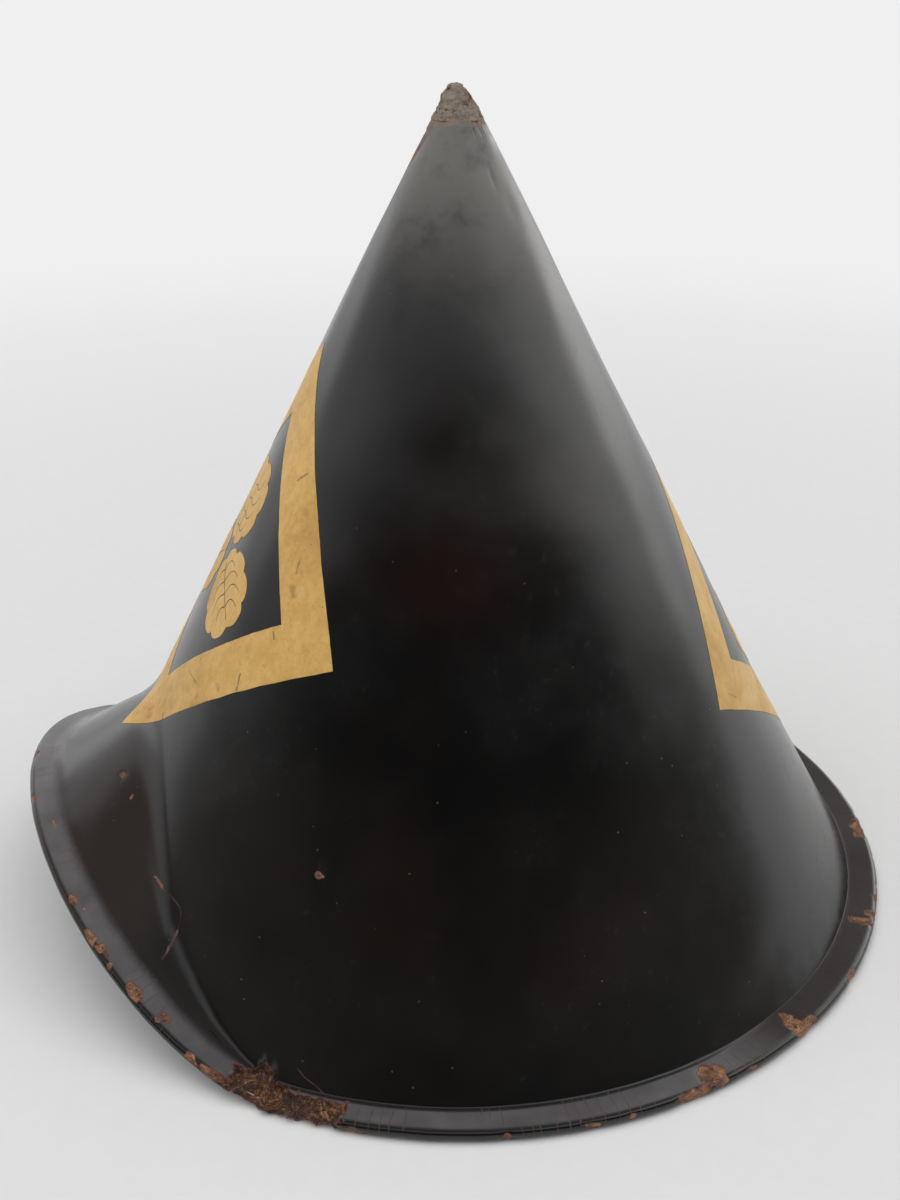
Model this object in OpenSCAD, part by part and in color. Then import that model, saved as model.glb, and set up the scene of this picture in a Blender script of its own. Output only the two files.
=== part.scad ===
// Conical hat: a tall moulded hat of lacquered rawhide with a raised visor, a bound
// rim, painted square crests at front and back, and a head ring with a cushion inside.
// +Z is up, the visor looks along -Y, and the rim rests on z = 0. The origin is the middle
// of the rim, and the cone's axis stands a little in front of it.

/* [Crown] */
// Radius of the rim, which sets the size of the hat
rim_r = 176.6; // [150:0.2:205]
// Angle between the cone's axis and its side, in degrees
cone_half_angle = 27.6; // [25:0.2:30]
// Width from the wall's foot to the rim, at the sides
foot_w = 9.7; // [8.5:0.1:12]
// Height that is worn off the cone's theoretical point
tip_worn = 5; // [3:0.5:8]
// Height of bare core between the worn tip and the shell
core_shown = 13; // [9:0.5:17]
// Thickness of the moulded wall
wall_t = 3; // [2.4:0.1:4]
// How far the wall flares out at its foot
flare_out = 3.5; // [1:0.5:6]
// Height over which the foot flares
flare_h = 90; // [60:5:110]

/* [Visor] */
// Height of the crease at the middle of the front, above the flange
crease_h = 75; // [60:1:85]
// Half of the angle that the crease spans
crease_half_angle = 42; // [38:1:46]
// How far the rim rises at the middle of the front
visor_lift = 52; // [40:1:58]
// Half of the angle over which the rim rises
lift_half_angle = 56; // [52:1:60]
// Thickness of the visor and of the flange
visor_t = 2.4; // [2:0.1:3]
// Size of the bend between the crown and the visor
crease_bend = 8; // [5:0.5:10]

/* [Rim] */
// How far the rim's centre lies behind the cone's axis
rim_back = 1.4; // [0:0.2:2]
// Height of the bound edge
edge_h = 4.5; // [4.3:0.1:5.5]
// Width of the flat lip on top of the rim
lip_w = 10.8; // [9:0.2:11]
// Width of the binding under the rim
under_w = 8; // [6.5:0.5:9]
// Thickness of the binding
binding_t = 0.9; // [0.7:0.1:1]
// Diameter of the cane hoop inside the edge
hoop_d = 2.6; // [2:0.1:2.7]

/* [Crests] */
// Outer side of the square frame, as a part of the rim's radius
crest_part = 0.702; // [0.6:0.01:0.74]
// Width of the frame's band
crest_band = 20; // [12:1:24]
// Distance from the opening inside the front frame down to the crease's bend
crest_clear = 5.6; // [2:0.2:15]
// Middle of the rear crest, as a part of the way from the point down the side
rear_crest_part = 0.651; // [0.6:0.005:0.67]
// Length of a leaf, as a part of the opening inside the frame
leaf_part = 0.435; // [0.36:0.005:0.49]
// Width of a leaf, as a part of the opening inside the frame
leaf_breadth_part = 0.35; // [0.2:0.01:0.37]
// Distance from a leaf's foot to the middle of the crest
leaf_foot = 3.5; // [3:0.5:6]
// Width of the veins left open in a leaf
vein_w = 0.7; // [0.5:0.1:1]
// Thickness of the painted layer
paint_t = 0.35; // [0.2:0.05:0.5]

/* [Lining] */
// Thickness of the lining
lining_t = 0.8; // [0.6:0.1:1.2]
// Room for glue between the lining and the wall
glue_gap = 0.1; // [0.05:0.05:0.2]

/* [Head ring] */
// Height of the head ring's underside, as a part of the height of the cone's point
ring_part = 0.3165; // [0.312:0.001:0.35]
// Height of the head ring
ring_h = 14; // [10:1:18]
// Inner radius of the head ring, as a part of the rim's radius
ring_in_part = 0.538; // [0.5:0.002:0.54]
// Thickness of the sweatband
band_t = 3.7; // [2.5:0.1:5]
// How far the sweatband reaches past the ring, above and below
band_over = 2; // [1:0.5:4]
// Width of a leather bracket, in degrees
bracket_angle = 12; // [8:1:18]
// Thickness of a leather bracket
bracket_t = 1.6; // [1.2:0.1:2.2]
// Height of a leather bracket on the wall
bracket_h = 14; // [10:1:16]

/* [Cushion] */
// Thickness of the cushion at its edge
pad_edge = 10; // [8:0.5:12]
// How much the cushion is crowned on top
pad_crown = 4; // [2:0.5:6]
// How far the cushion hangs down inside the sweatband
pad_sag = 1.5; // [0.5:0.1:1.7]

/* [Cord rings] */
// Angle of the front pair of rings, from the middle of the front
front_ring_angle = 66; // [62:1:74]
// Angle of the rear pair of rings, from the middle of the front
rear_ring_angle = 128; // [110:1:140]
// Height of the staples on the wall, as a part of the height of the cone's point
staple_part = 0.196; // [0.17:0.002:0.22]
// Radius of a cord ring, to the middle of its wire
cord_ring_r = 8; // [6:0.5:10]
// Radius of a cord ring's wire
cord_ring_wire = 0.9; // [0.7:0.05:1]
// Radius of a staple's eye, to the middle of its wire
eye_r = 2.6; // [2.4:0.1:3.2]
// Radius of a staple's wire
eye_wire = 0.9; // [0.7:0.05:1]
// Radius of a staple's shank
shank_r = 1.2; // [1:0.05:1.4]
// How deep a shank sits in the wall
shank_in = 2; // [1.4:0.1:2.2]
// Radius of a staple's washer
washer_r = 4.5; // [3.5:0.1:5.5]
// Thickness of a staple's washer
washer_t = 0.6; // [0.4:0.1:1]

/* [Hidden] */

fit_gap = 0.15;      // between pieces that are pressed or glued together
seat_gap = 0.3;      // between a piece and the seat that it rests on
end_room = 0.1;      // between the visor's ends and the shell, in degrees
lip_room = 0.5;      // from the bend at the wall's foot to the flat lip
least_bend = 0.5;    // size of the bend where the crease has run into the rim
bend_runout = 12;    // height of the crease over which the bend dies out
lift_power = 0.7;    // how quickly the rim's rise falls off to the sides
bore_gap = 0.05;     // around a shank in its hole
paint_gap = 0.2;     // between the painted layer and the wall
far = 400;           // longer than any part of the hat
turn_fn = 180;       // facets drawn on a large round
small_fn = 48;       // facets drawn on a small round

slope = tan(cone_half_angle);
wall_w = wall_t / cos(cone_half_angle);          // the wall, measured level
lining_w = lining_t / cos(cone_half_angle);
glue_w = glue_gap / cos(cone_half_angle);
flange_low = binding_t + fit_gap;
flange_top = flange_low + visor_t;
binding_top = max(edge_h, flange_top + fit_gap + binding_t);
bead_r = binding_top / 2;                        // round outer edge of the rim
hoop_room = hoop_d / 2 + fit_gap;                // radius of the hoop's room in the edge
flange_back = bead_r + hoop_room + fit_gap;      // from the rim's edge to the flange's edge
point_h = flange_top + (rim_r - foot_w - flare_out) / slope;    // the cone's theoretical point
side_l = point_h / cos(cone_half_angle);         // from the point down the side
tip_h = point_h - tip_worn;
shell_top_h = tip_h - core_shown;
ring_at = point_h * ring_part;
ring_in_r = rim_r * ring_in_part;
staple_h = point_h * staple_part;
crest_side = rim_r * crest_part;
crest_open = crest_side - 2 * crest_band;        // the opening inside a frame
rear_crest_at = side_l * rear_crest_part;
leaf_l = crest_open * leaf_part;
leaf_w = crest_open * leaf_breadth_part;

// Outer radius of the wall at a height above the rest plane
function wall_r(z) =
    slope * (point_h - z) + flare_out * pow(max(0, 1 - (z - flange_top) / flare_h), 2);
// Radius inside the lining at a height
function room_r(z) = wall_r(z) - wall_w - glue_w - lining_w;
// Radius of the rim at an angle from the middle of the front
function edge_r(a) = rim_r - rim_back * cos(a);
// Rise of the rim at an angle from the middle of the front
function lift(a) =
    abs(a) >= lift_half_angle ? 0
    : visor_lift * pow((1 + cos(180 * a / lift_half_angle)) / 2, lift_power);
// Height of the crease over the risen rim
function arch(a) =
    max(0, crease_h * (1 - pow(a / crease_half_angle, 2)) - lift(a));
// Size of the bend, which dies out where the crease runs into the rim
function bend(a) = max(least_bend, min(1, arch(a) / bend_runout) * crease_bend);
// Height of the corner between crown and visor, and of the moulded shell's lower edge
function corner_z(a) = flange_top + lift(a) + arch(a);
function shell_edge_z(a) = corner_z(a) + bend(a) * cos(cone_half_angle);
// The front crest stands over the crease, by its opening's half diagonal and a clearance
front_crest_at =
    (point_h - shell_edge_z(0)) / cos(cone_half_angle) - crest_clear - crest_open / sqrt(2);
// Radius at which the flat lip begins
function lip_inner(a) = max(edge_r(a) - lip_w, wall_r(corner_z(a)) + bend(a) + lip_room);

// A point of a section [r, z] turned to an angle from the front
function turned(p, a) = [p[0] * sin(a), -p[0] * cos(a), p[1]];
function unit(v) = v / norm(v);
function mix(a, b, t) = a + (b - a) * t;
function curve3(a, b, c, t) = mix(mix(a, b, t), mix(b, c, t), t);

// Every sub-part is drawn around the cone's axis and set in place by this
module on_axis() {
    translate([0, -rim_back, 0]) children();
}

// Solid through sections of equal length, one at each angle. Its sides are triangles, and
// crossed cuts each pair along the other diagonal, so that it fits under another loft
module turned_loft(angles, sections, closed = false, crossed = false) {
    n = len(sections[0]);
    m = len(angles);
    points = [for (k = [0:m - 1]) for (p = sections[k]) turned(p, angles[k])];
    sides = [for (k = [0:m - (closed ? 1 : 2)]) for (i = [0:n - 1])
        let (a = k * n + i, b = k * n + (i + 1) % n,
             c = ((k + 1) % m) * n + (i + 1) % n, d = ((k + 1) % m) * n + i)
        for (f = crossed ? [[a, d, b], [b, d, c]] : [[a, c, b], [a, d, c]]) f];
    caps = closed ? [] : [[for (i = [0:n - 1]) i],
                          [for (i = [n - 1:-1:0]) (m - 1) * n + i]];
    polyhedron(points, concat(sides, caps), convexity = 8);
}

visor_steps = 40;
visor_angles = [for (k = [0:visor_steps])
    -lift_half_angle + 2 * lift_half_angle * k / visor_steps];
rear_steps = 60;
rear_span = 360 - 2 * lift_half_angle;
rim_angles = concat(visor_angles,
    [for (k = [1:rear_steps - 1]) lift_half_angle + rear_span * k / rear_steps]);

// Everything that the front of the crown leaves open for the visor
module visor_cutter() {
    margin = 2;
    inward = wall_w + glue_w + lining_w + margin;
    widened = 1 + end_room / lift_half_angle;
    turned_loft(widened * visor_angles, [for (a = visor_angles)
        let (z = shell_edge_z(a) + fit_gap, r = wall_r(z) - inward)
        [[r, z], [rim_r + margin, z], [rim_r + margin, -margin], [r, -margin]]]);
}

flare_steps = 7;
wall_heights = [for (k = [0:flare_steps])
    flange_top + flare_h * k / flare_steps];

// Shell of revolution between two margins inside the wall's outer face
module wall_layer(outer, inner, low, high) {
    heights = concat([low], [for (z = wall_heights) if (z > low && z < high) z], [high]);
    last = len(heights) - 1;
    rotate_extrude($fn = turn_fn) polygon(concat(
        [for (z = heights) [wall_r(z) - outer, z]],
        [for (k = [last:-1:0]) [wall_r(heights[k]) - inner, heights[k]]]));
}

// Places its child on the wall's inner side, with +Z pointing into the hat
staple_angles = [front_ring_angle, rear_ring_angle];
module on_wall(a) {
    translate(turned([room_r(staple_h), staple_h], a))
        rotate([0, 0, a]) rotate([-90 - cone_half_angle, 0, 0]) children();
}

module shank_holes(r) {
    for (a = staple_angles) for (side = [-1, 1])
        on_wall(side * a)
            translate([0, 0, -shank_in - lining_t - glue_gap - fit_gap])
                cylinder(h = shank_in + lining_t + glue_gap + 2 * fit_gap, r = r, $fn = small_fn);
}

// Flat ring that the wall turns out into, left open where the visor is
module flange() {
    side = rim_r * 1.5;
    difference() {
        translate([0, rim_back, flange_low])
            cylinder(h = visor_t, r = rim_r - flange_back, $fn = turn_fn);
        translate([0, 0, -far / 2])
            cylinder(h = far, r = wall_r(flange_top) - wall_w / 2, $fn = turn_fn);
        translate([0, 0, -far / 2]) linear_extrude(height = far) polygon([
            [0, 0], side * [sin(lift_half_angle), -cos(lift_half_angle)], [side, -side],
            [-side, -side], side * [-sin(lift_half_angle), -cos(lift_half_angle)]]);
    }
}

module crown_shell() {
    color("#1b1512") on_axis() difference() {
        union() {
            difference() {
                wall_layer(0, wall_w, flange_low, shell_top_h);
                visor_cutter();
            }
            flange();
        }
        shank_holes(shank_r + bore_gap);
    }
}

// Top face of the visor at an angle, from the moulded shell's edge to the flange's edge
bend_steps = 4;
function visor_top(a) =
    let (corner = [wall_r(corner_z(a)), corner_z(a)],
         start = [wall_r(shell_edge_z(a)), shell_edge_z(a)],
         lip_z = flange_top + lift(a),
         lip = [lip_inner(a), lip_z],
         out = corner + bend(a) * unit(lip - corner))
    concat([for (k = [0:bend_steps]) curve3(start, corner, out, k / bend_steps)],
           [lip, [edge_r(a) - flange_back, lip_z]]);
// Direction from one of its points to the next, and its downward normals
function step_from(p, k) = unit(p[k + 1] - p[k]);
function visor_down(a) =
    let (p = visor_top(a), last = len(p) - 1)
    [for (k = [0:last])
        let (d = k == 0 ? step_from(p, 0) : k == last ? step_from(p, last - 1)
                 : unit(step_from(p, k - 1) + step_from(p, k)))
        [d[1], -d[0]]];
// The same face moved down by a depth, which is deeper at the bend where the wall's
// thickness runs in; its first point stays level with the shell's edge
function visor_below(a, depth) =
    let (p = visor_top(a), d = visor_down(a), deeper = wall_t / visor_t)
    [for (k = [0:len(p) - 1])
        k == 0 ? p[0] - [depth * deeper / cos(cone_half_angle), 0]
        : p[k] + depth * (k < bend_steps - 1 ? deeper : 1) * d[k]];
function reversed(v) = [for (k = [len(v) - 1:-1:0]) v[k]];

module visor() {
    color("#211916") on_axis() turned_loft(visor_angles,
        [for (a = visor_angles) concat(visor_top(a), reversed(visor_below(a, visor_t)))]);
}

// Section of the binding: flat lip, round edge, and a narrow strip underneath
arc_steps = 6;
room_turn = 132;     // half of the angle that the hoop's room is closed through
lip_lap = 0.3;       // from the start of the lip to the binding's inner edge
function binding_section(a) =
    let (r = edge_r(a), z = lift(a), c = [r - bead_r, z + bead_r],
         inner = lip_inner(a) + lip_lap)
    concat(
        [[inner, z + binding_top]],
        [for (k = [0:arc_steps]) let (t = 90 - 180 * k / arc_steps)
            c + bead_r * [cos(t), sin(t)]],
        [[r - under_w, z], [r - under_w, z + binding_t]],
        [[r - flange_back, z + binding_t]],
        [for (k = [0:arc_steps]) let (t = -room_turn + 2 * room_turn * k / arc_steps)
            c + hoop_room * [cos(t), sin(t)]],
        [[r - flange_back, z + binding_top - binding_t],
         [inner, z + binding_top - binding_t]]);

module rim_binding() {
    color("#2a201c") on_axis() turned_loft(rim_angles, [for (a = rim_angles) binding_section(a)],
                                 closed = true);
}

hoop_sides = 8;
module rim_hoop() {
    color("#8a6a45") on_axis() turned_loft(rim_angles, [for (a = rim_angles)
        [for (k = [hoop_sides - 1:-1:0]) let (t = 360 * k / hoop_sides)
            [edge_r(a) - bead_r, lift(a) + bead_r] + hoop_d / 2 * [cos(t), sin(t)]]],
        closed = true);
}

plug_stem = 14;      // how far the tip's core reaches down into the shell
plug_blunt = 1.5;    // height over which its top is rounded off
module tip_plug() {
    top = shell_top_h;
    low = top - plug_stem;
    color("#6b4f3d") on_axis() rotate_extrude($fn = small_fn) polygon([
        [0, low], [wall_r(low) - wall_w - fit_gap, low], [wall_r(top) - wall_w - fit_gap, top],
        [wall_r(top) - wall_w - fit_gap, top + fit_gap],
        [wall_r(top + fit_gap), top + fit_gap], [wall_r(tip_h - plug_blunt), tip_h - plug_blunt],
        [wall_r(tip_h) / 2, tip_h], [0, tip_h]]);
}

lining_top = shell_top_h - plug_stem - seat_gap;
module crown_lining() {
    outer = wall_w + glue_w;
    color("#5b1f18") on_axis() difference() {
        union() {
            wall_layer(outer, outer + lining_w, flange_low, lining_top - lining_t);
            translate([0, 0, lining_top - lining_t])
                cylinder(h = lining_t, r = wall_r(lining_top) - outer, $fn = turn_fn);
        }
        visor_cutter();
        shank_holes(shank_r + bore_gap);
    }
}

module visor_lining() {
    outer = visor_t + seat_gap;
    inner = outer + lining_t;
    stop = under_w - flange_back + seat_gap;
    color("#5b1f18") on_axis() turned_loft(visor_angles, [for (a = visor_angles)
        let (p = visor_below(a, outer), q = visor_below(a, inner), n = len(p))
        concat([for (k = [0:n - 2]) p[k]], [[p[n - 1][0] - stop, p[n - 1][1]]],
               [[q[n - 1][0] - stop, q[n - 1][1]]], reversed([for (k = [0:n - 2]) q[k]]))],
        crossed = true);
}

// A crest is laid out flat, as the cone's side unrolled, with v pointing down the side
function on_cone(p, at) =
    let (s = norm([p[0], at + p[1]]), a = atan2(p[0], at + p[1]) / sin(cone_half_angle),
         z = point_h - s * cos(cone_half_angle))
    [wall_r(z) * sin(a), z];

side_steps = 8;
// Square standing on one corner
function diamond(half) =
    let (corners = [[0, -half], [half, 0], [0, half], [-half, 0]])
    [for (k = [0:3]) for (i = [0:side_steps - 1])
        mix(corners[k], corners[(k + 1) % 4], i / side_steps)];

// Outline of a lobed leaf along +u from its foot
leaf_points = 54;
lobes = 9;
lobe_depth = 0.1;    // how deep the notches between lobes are, as a part of the leaf
foot_taper = 0.45;   // how much narrower the leaf is at its foot
function leaf_outline() =
    [for (k = [0:leaf_points - 1])
        let (t = 360 * k / leaf_points,
             lobe = 1 - lobe_depth + lobe_depth * abs(sin(lobes * t / 2 + 90)),
             foot = 1 - foot_taper * pow(max(0, -cos(t)), 3))
        [leaf_foot + leaf_l / 2 + leaf_l / 2 * cos(t) * lobe,
         leaf_w / 2 * sin(t) * lobe * foot]];
// Strips that part the halves of a leaf and its lobes, as parts of its length and width
vein_steps = 5;
vein_pairs = 3;
vein_first = 0.2;
vein_pitch = 0.2;
vein_reach = 0.36;
vein_sweep = 0.2;
mid_from = 0.14;
mid_to = 0.82;
function side_vein(j, side) =
    let (u0 = leaf_foot + leaf_l * (vein_first + vein_pitch * j))
    [for (edge = [-1, 1]) for (i = [0:vein_steps])
        let (t = (edge < 0 ? i : vein_steps - i) / vein_steps)
        [u0 + leaf_w * vein_sweep * pow(t, 2) + edge * vein_w / 2,
         side * leaf_w * vein_reach * t]];
function mid_vein() =
    let (u0 = leaf_foot + leaf_l * mid_from, u1 = leaf_foot + leaf_l * mid_to)
    [[u0, -vein_w / 2], [u1, -vein_w / 2], [u1, vein_w / 2], [u0, vein_w / 2]];
function spun(points, a) =
    [for (p = points) [p[0] * sin(a) + p[1] * cos(a), -p[0] * cos(a) + p[1] * sin(a)]];

module crest_patch(points, at) {
    polygon([for (p = points) on_cone(p, at)]);
}

// Gives its flat child a painted layer's thickness on the front of the wall
module painted(at, over_visor) {
    margin = 4;
    reach = crest_side * sqrt(0.5) + margin;
    high = point_h - (at - reach) * cos(cone_half_angle);
    low = max(flange_top + margin, point_h - (at + reach) * cos(cone_half_angle));
    difference() {
        intersection() {
            wall_layer(-paint_gap - paint_t, -paint_gap, low, high);
            rotate([90, 0, 0]) linear_extrude(height = far / 2) children();
        }
        if (over_visor) visor_cutter();
    }
}

module crest_frame(at, turn) {
    half = crest_side * sqrt(0.5);
    color("#c99b4f") on_axis() rotate([0, 0, turn]) painted(at, turn == 0) difference() {
        crest_patch(diamond(half), at);
        crest_patch(diamond(half - crest_band * sqrt(2)), at);
    }
}

module crest_leaves(at, turn) {
    color("#c99b4f") on_axis() rotate([0, 0, turn]) painted(at, turn == 0)
        for (a = [0, 120, 240]) difference() {
            crest_patch(spun(leaf_outline(), a), at);
            crest_patch(spun(mid_vein(), a), at);
            for (j = [0:vein_pairs - 1]) for (side = [-1, 1])
                crest_patch(spun(side_vein(j, side), a), at);
        }
}

module front_crest_frame() { crest_frame(front_crest_at, 0); }
module front_crest_leaves() { crest_leaves(front_crest_at, 0); }
module rear_crest_frame() { crest_frame(rear_crest_at, 180); }
module rear_crest_leaves() { crest_leaves(rear_crest_at, 180); }

ring_top = ring_at + ring_h;
band_out_r = ring_in_r - seat_gap;
band_low = ring_at - band_over;
band_top = ring_top + band_over;
module head_ring() {
    color("#7d6244") on_axis() rotate_extrude($fn = turn_fn) polygon([
        [ring_in_r, ring_at], [room_r(ring_at) - seat_gap, ring_at],
        [room_r(ring_top) - seat_gap, ring_top], [ring_in_r, ring_top]]);
}

// Leather angles glued to the lining, with a shelf under the head ring
module ring_brackets() {
    shelf_top = ring_at - seat_gap;
    shelf_low = shelf_top - bracket_t;
    foot = shelf_top - bracket_h;
    shelf_in = band_out_r + seat_gap + fit_gap;
    color("#4a2f20") on_axis() for (a = [45, 135, 225, 315])
        rotate([0, 0, a - bracket_angle / 2])
            rotate_extrude(angle = bracket_angle, $fn = turn_fn) polygon([
                [shelf_in, shelf_low], [room_r(shelf_low) - fit_gap - bracket_t, shelf_low],
                [room_r(foot) - fit_gap - bracket_t, foot], [room_r(foot) - fit_gap, foot],
                [room_r(shelf_top) - fit_gap, shelf_top], [shelf_in, shelf_top]]);
}

module sweatband() {
    round_r = 0.4 * band_t;
    color("#8c7a5c") on_axis() rotate_extrude($fn = turn_fn) polygon([
        [band_out_r, band_low], [band_out_r, band_top],
        [band_out_r - band_t + round_r, band_top], [band_out_r - band_t, band_top - round_r],
        [band_out_r - band_t, band_low + round_r], [band_out_r - band_t + round_r, band_low]]);
}

// Cushion that rests on the sweatband and bulges down into the head ring
module crown_cushion() {
    low = band_top + seat_gap;
    top = low + pad_edge;
    bulge_r = band_out_r - band_t - 2 * seat_gap;
    side_r = room_r(low + pad_edge / 2) - seat_gap / cos(cone_half_angle);
    top_r = side_r - pad_edge / 2;
    steps = 8;
    color("#7a2f2a") on_axis() rotate_extrude($fn = turn_fn) polygon(concat(
        [for (k = [0:steps]) let (t = 90 * k / steps)
            [top_r * sin(t), top + pad_crown * cos(t)]],
        [[side_r, low + pad_edge / 2], [side_r, low]],
        [for (k = [steps:-1:0]) let (t = 90 * k / steps)
            [bulge_r * sin(t), low - pad_sag * cos(t)]]));
}

eye_neck = 1.4;      // from a staple's washer to the wire of its eye
eye_out = washer_t + fit_gap + eye_neck + eye_wire + eye_r;   // from the lining to the eye
module staple(a) {
    color("#6f6a62") on_axis() on_wall(a) {
        translate([0, 0, -shank_in - lining_t - glue_gap])
            cylinder(h = shank_in + lining_t + glue_gap + eye_out - eye_r,
                     r = shank_r, $fn = small_fn);
        translate([0, 0, eye_out]) rotate([0, 90, 0])
            rotate_extrude($fn = small_fn) translate([eye_r, 0])
                circle(r = eye_wire, $fn = 24);
    }
}

module staple_washers() {
    color("#a5803f") on_axis() for (a = staple_angles) for (side = [-1, 1])
        on_wall(side * a) translate([0, 0, fit_gap]) difference() {
            cylinder(h = washer_t, r = washer_r, $fn = small_fn);
            translate([0, 0, -washer_t])
                cylinder(h = 3 * washer_t, r = shank_r + bore_gap, $fn = small_fn);
        }
}

// Where a cord ring's wire crosses the eye that it hangs in
ring_sag = eye_r - eye_wire - cord_ring_wire - bore_gap;
hang_r = room_r(staple_h) - eye_out * cos(cone_half_angle);
hang_z = staple_h - eye_out * sin(cone_half_angle) - ring_sag;
module cord_ring(a) {
    color("#a5803f") on_axis() translate(turned([hang_r, hang_z - cord_ring_r], a))
        rotate([0, 0, a]) rotate([90, 0, 0])
            rotate_extrude($fn = 2 * small_fn) translate([cord_ring_r, 0])
                circle(r = cord_ring_wire, $fn = 24);
}

module staple_front_left() { staple(-front_ring_angle); }
module staple_front_right() { staple(front_ring_angle); }
module staple_rear_left() { staple(-rear_ring_angle); }
module staple_rear_right() { staple(rear_ring_angle); }
module cord_ring_front_left() { cord_ring(-front_ring_angle); }
module cord_ring_front_right() { cord_ring(front_ring_angle); }
module cord_ring_rear_left() { cord_ring(-rear_ring_angle); }
module cord_ring_rear_right() { cord_ring(rear_ring_angle); }

crown_shell();
visor();
rim_binding();
rim_hoop();
tip_plug();
crown_lining();
visor_lining();
front_crest_frame();
front_crest_leaves();
rear_crest_frame();
rear_crest_leaves();
head_ring();
ring_brackets();
sweatband();
crown_cushion();
staple_washers();
staple_front_left();
staple_front_right();
staple_rear_left();
staple_rear_right();
cord_ring_front_left();
cord_ring_front_right();
cord_ring_rear_left();
cord_ring_rear_right();
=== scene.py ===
"""The looks of the conical hat: lacquered skin, painted crests, lining and fittings."""

import math
from functools import reduce
from itertools import product

import bmesh
import bpy
import numpy as np
from mathutils import Matrix, Vector
from mathutils.geometry import delaunay_2d_cdt


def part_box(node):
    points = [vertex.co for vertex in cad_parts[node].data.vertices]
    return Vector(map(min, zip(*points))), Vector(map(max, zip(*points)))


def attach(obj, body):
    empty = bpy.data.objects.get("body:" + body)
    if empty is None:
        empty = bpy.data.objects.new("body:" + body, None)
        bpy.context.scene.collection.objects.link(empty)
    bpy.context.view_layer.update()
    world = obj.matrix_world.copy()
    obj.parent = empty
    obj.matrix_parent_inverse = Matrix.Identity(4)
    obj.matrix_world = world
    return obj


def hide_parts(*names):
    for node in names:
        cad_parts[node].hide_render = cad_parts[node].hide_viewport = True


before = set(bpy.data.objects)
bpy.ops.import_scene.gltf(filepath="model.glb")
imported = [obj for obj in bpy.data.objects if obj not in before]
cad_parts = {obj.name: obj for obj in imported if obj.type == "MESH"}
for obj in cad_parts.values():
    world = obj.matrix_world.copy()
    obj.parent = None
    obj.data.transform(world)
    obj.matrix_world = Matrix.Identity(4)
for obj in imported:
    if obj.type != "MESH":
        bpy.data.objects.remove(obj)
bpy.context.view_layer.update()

MM = 0.001
RADIANS = math.pi / 180
BODY = "hat"

# The hat's own sizes, in millimetres and degrees, as its solids have them
HALF_ANGLE = 27.6
POINT_H = 316.006
TIP_WORN = 5
SHELL_TOP = 298
FLARE_OUT = 3.5
FLARE_H = 90
FLANGE_LOW = 1.05
FLANGE_TOP = 3.45
CREASE_H = 75
CREASE_SPAN = 42
VISOR_LIFT = 52
LIFT_SPAN = 56
LIFT_POWER = 0.7
SOFT_CREASE, SOFT_LIP = 9.0, 4.2      # half lengths of the rounded corners on the visor
FOOT_CORNER = 1.3                     # the same at the wall's foot elsewhere
FOOT_FROM = 60                        # angle from the front at which that is reached
RIM_R = 176.6
RIM_BACK = 1.4
EDGE_H = 4.5
LIP_W = 10.8
UNDER_W = 8
BINDING_T = 0.9
FRONT_CREST_AT = 195.08
REAR_CREST_AT = 232.14
CREST_SIDE = 123.97
CREST_BAND = 20
LEAF_FOOT = 3.5
LEAF_L = 35.5
LEAF_W = 32.5
LINING_T = 0.8
LINING_TOP = 283.7
LINING_IN_WALL = 3.9        # from the skin's outer face to the lining's inner one
LINING_IN_VISOR = 3.5
LINING_IN_LIP = 4.3
SKIN_BACK_T = 2.4           # from the skin's outer face to its hidden side
BAND_T = 3.7
PAINT_UP = 0.13             # how far the gold paint stands out of the lacquer
PAINT_IN = 0.3
LEAF_POINTS = 160
LOBE_DEPTH = 0.11

COS_H = math.cos(HALF_ANGLE * RADIANS)
SIN_H = math.sin(HALF_ANGLE * RADIANS)
SLOPE = SIN_H / COS_H
EDGE_R = EDGE_H / 2

rng = np.random.default_rng(7)


# ---------------------------------------------------------------- the hat's form

def wall_r(z):
    """Radius of the wall's outer face at a height."""
    return SLOPE * (POINT_H - z) + FLARE_OUT * np.maximum(0, 1 - (z - FLANGE_TOP) / FLARE_H) ** 2


def rim_r(a):
    """Radius of the rim's outermost line at an angle from the middle of the front."""
    return RIM_R - RIM_BACK * np.cos(a * RADIANS)


def lift(a):
    """Rise of the rim towards the middle of the front."""
    wave = (1 + np.cos(np.pi * np.clip(a / LIFT_SPAN, -1, 1))) / 2
    return VISOR_LIFT * np.maximum(wave, 0) ** LIFT_POWER


def arch(a):
    """Height of the crease over the risen rim."""
    return np.maximum(0, CREASE_H * (1 - (a / CREASE_SPAN) ** 2) - lift(a))


def mix(a, b, t):
    return a + (b - a) * t


def smooth(x, low, high):
    """0 below low, 1 above high, and a smooth rise between them."""
    t = np.clip((x - low) / (high - low), 0, 1)
    return t * t * (3 - 2 * t)


WALL_ROWS, BEND_ROWS, SLOPE_ROWS, LIP_ROWS, ARC_ROWS, UNDER_ROWS = 112, 15, 18, 11, 15, 7
CREASE_ROW = WALL_ROWS - 1                       # where the wall ends and the bend begins
LIP_ROW = CREASE_ROW + BEND_ROWS + SLOPE_ROWS - 2 + BEND_ROWS // 2
EDGE_ROW = CREASE_ROW + 2 * BEND_ROWS + SLOPE_ROWS - 3 + LIP_ROWS - 1 + ARC_ROWS // 2


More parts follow.
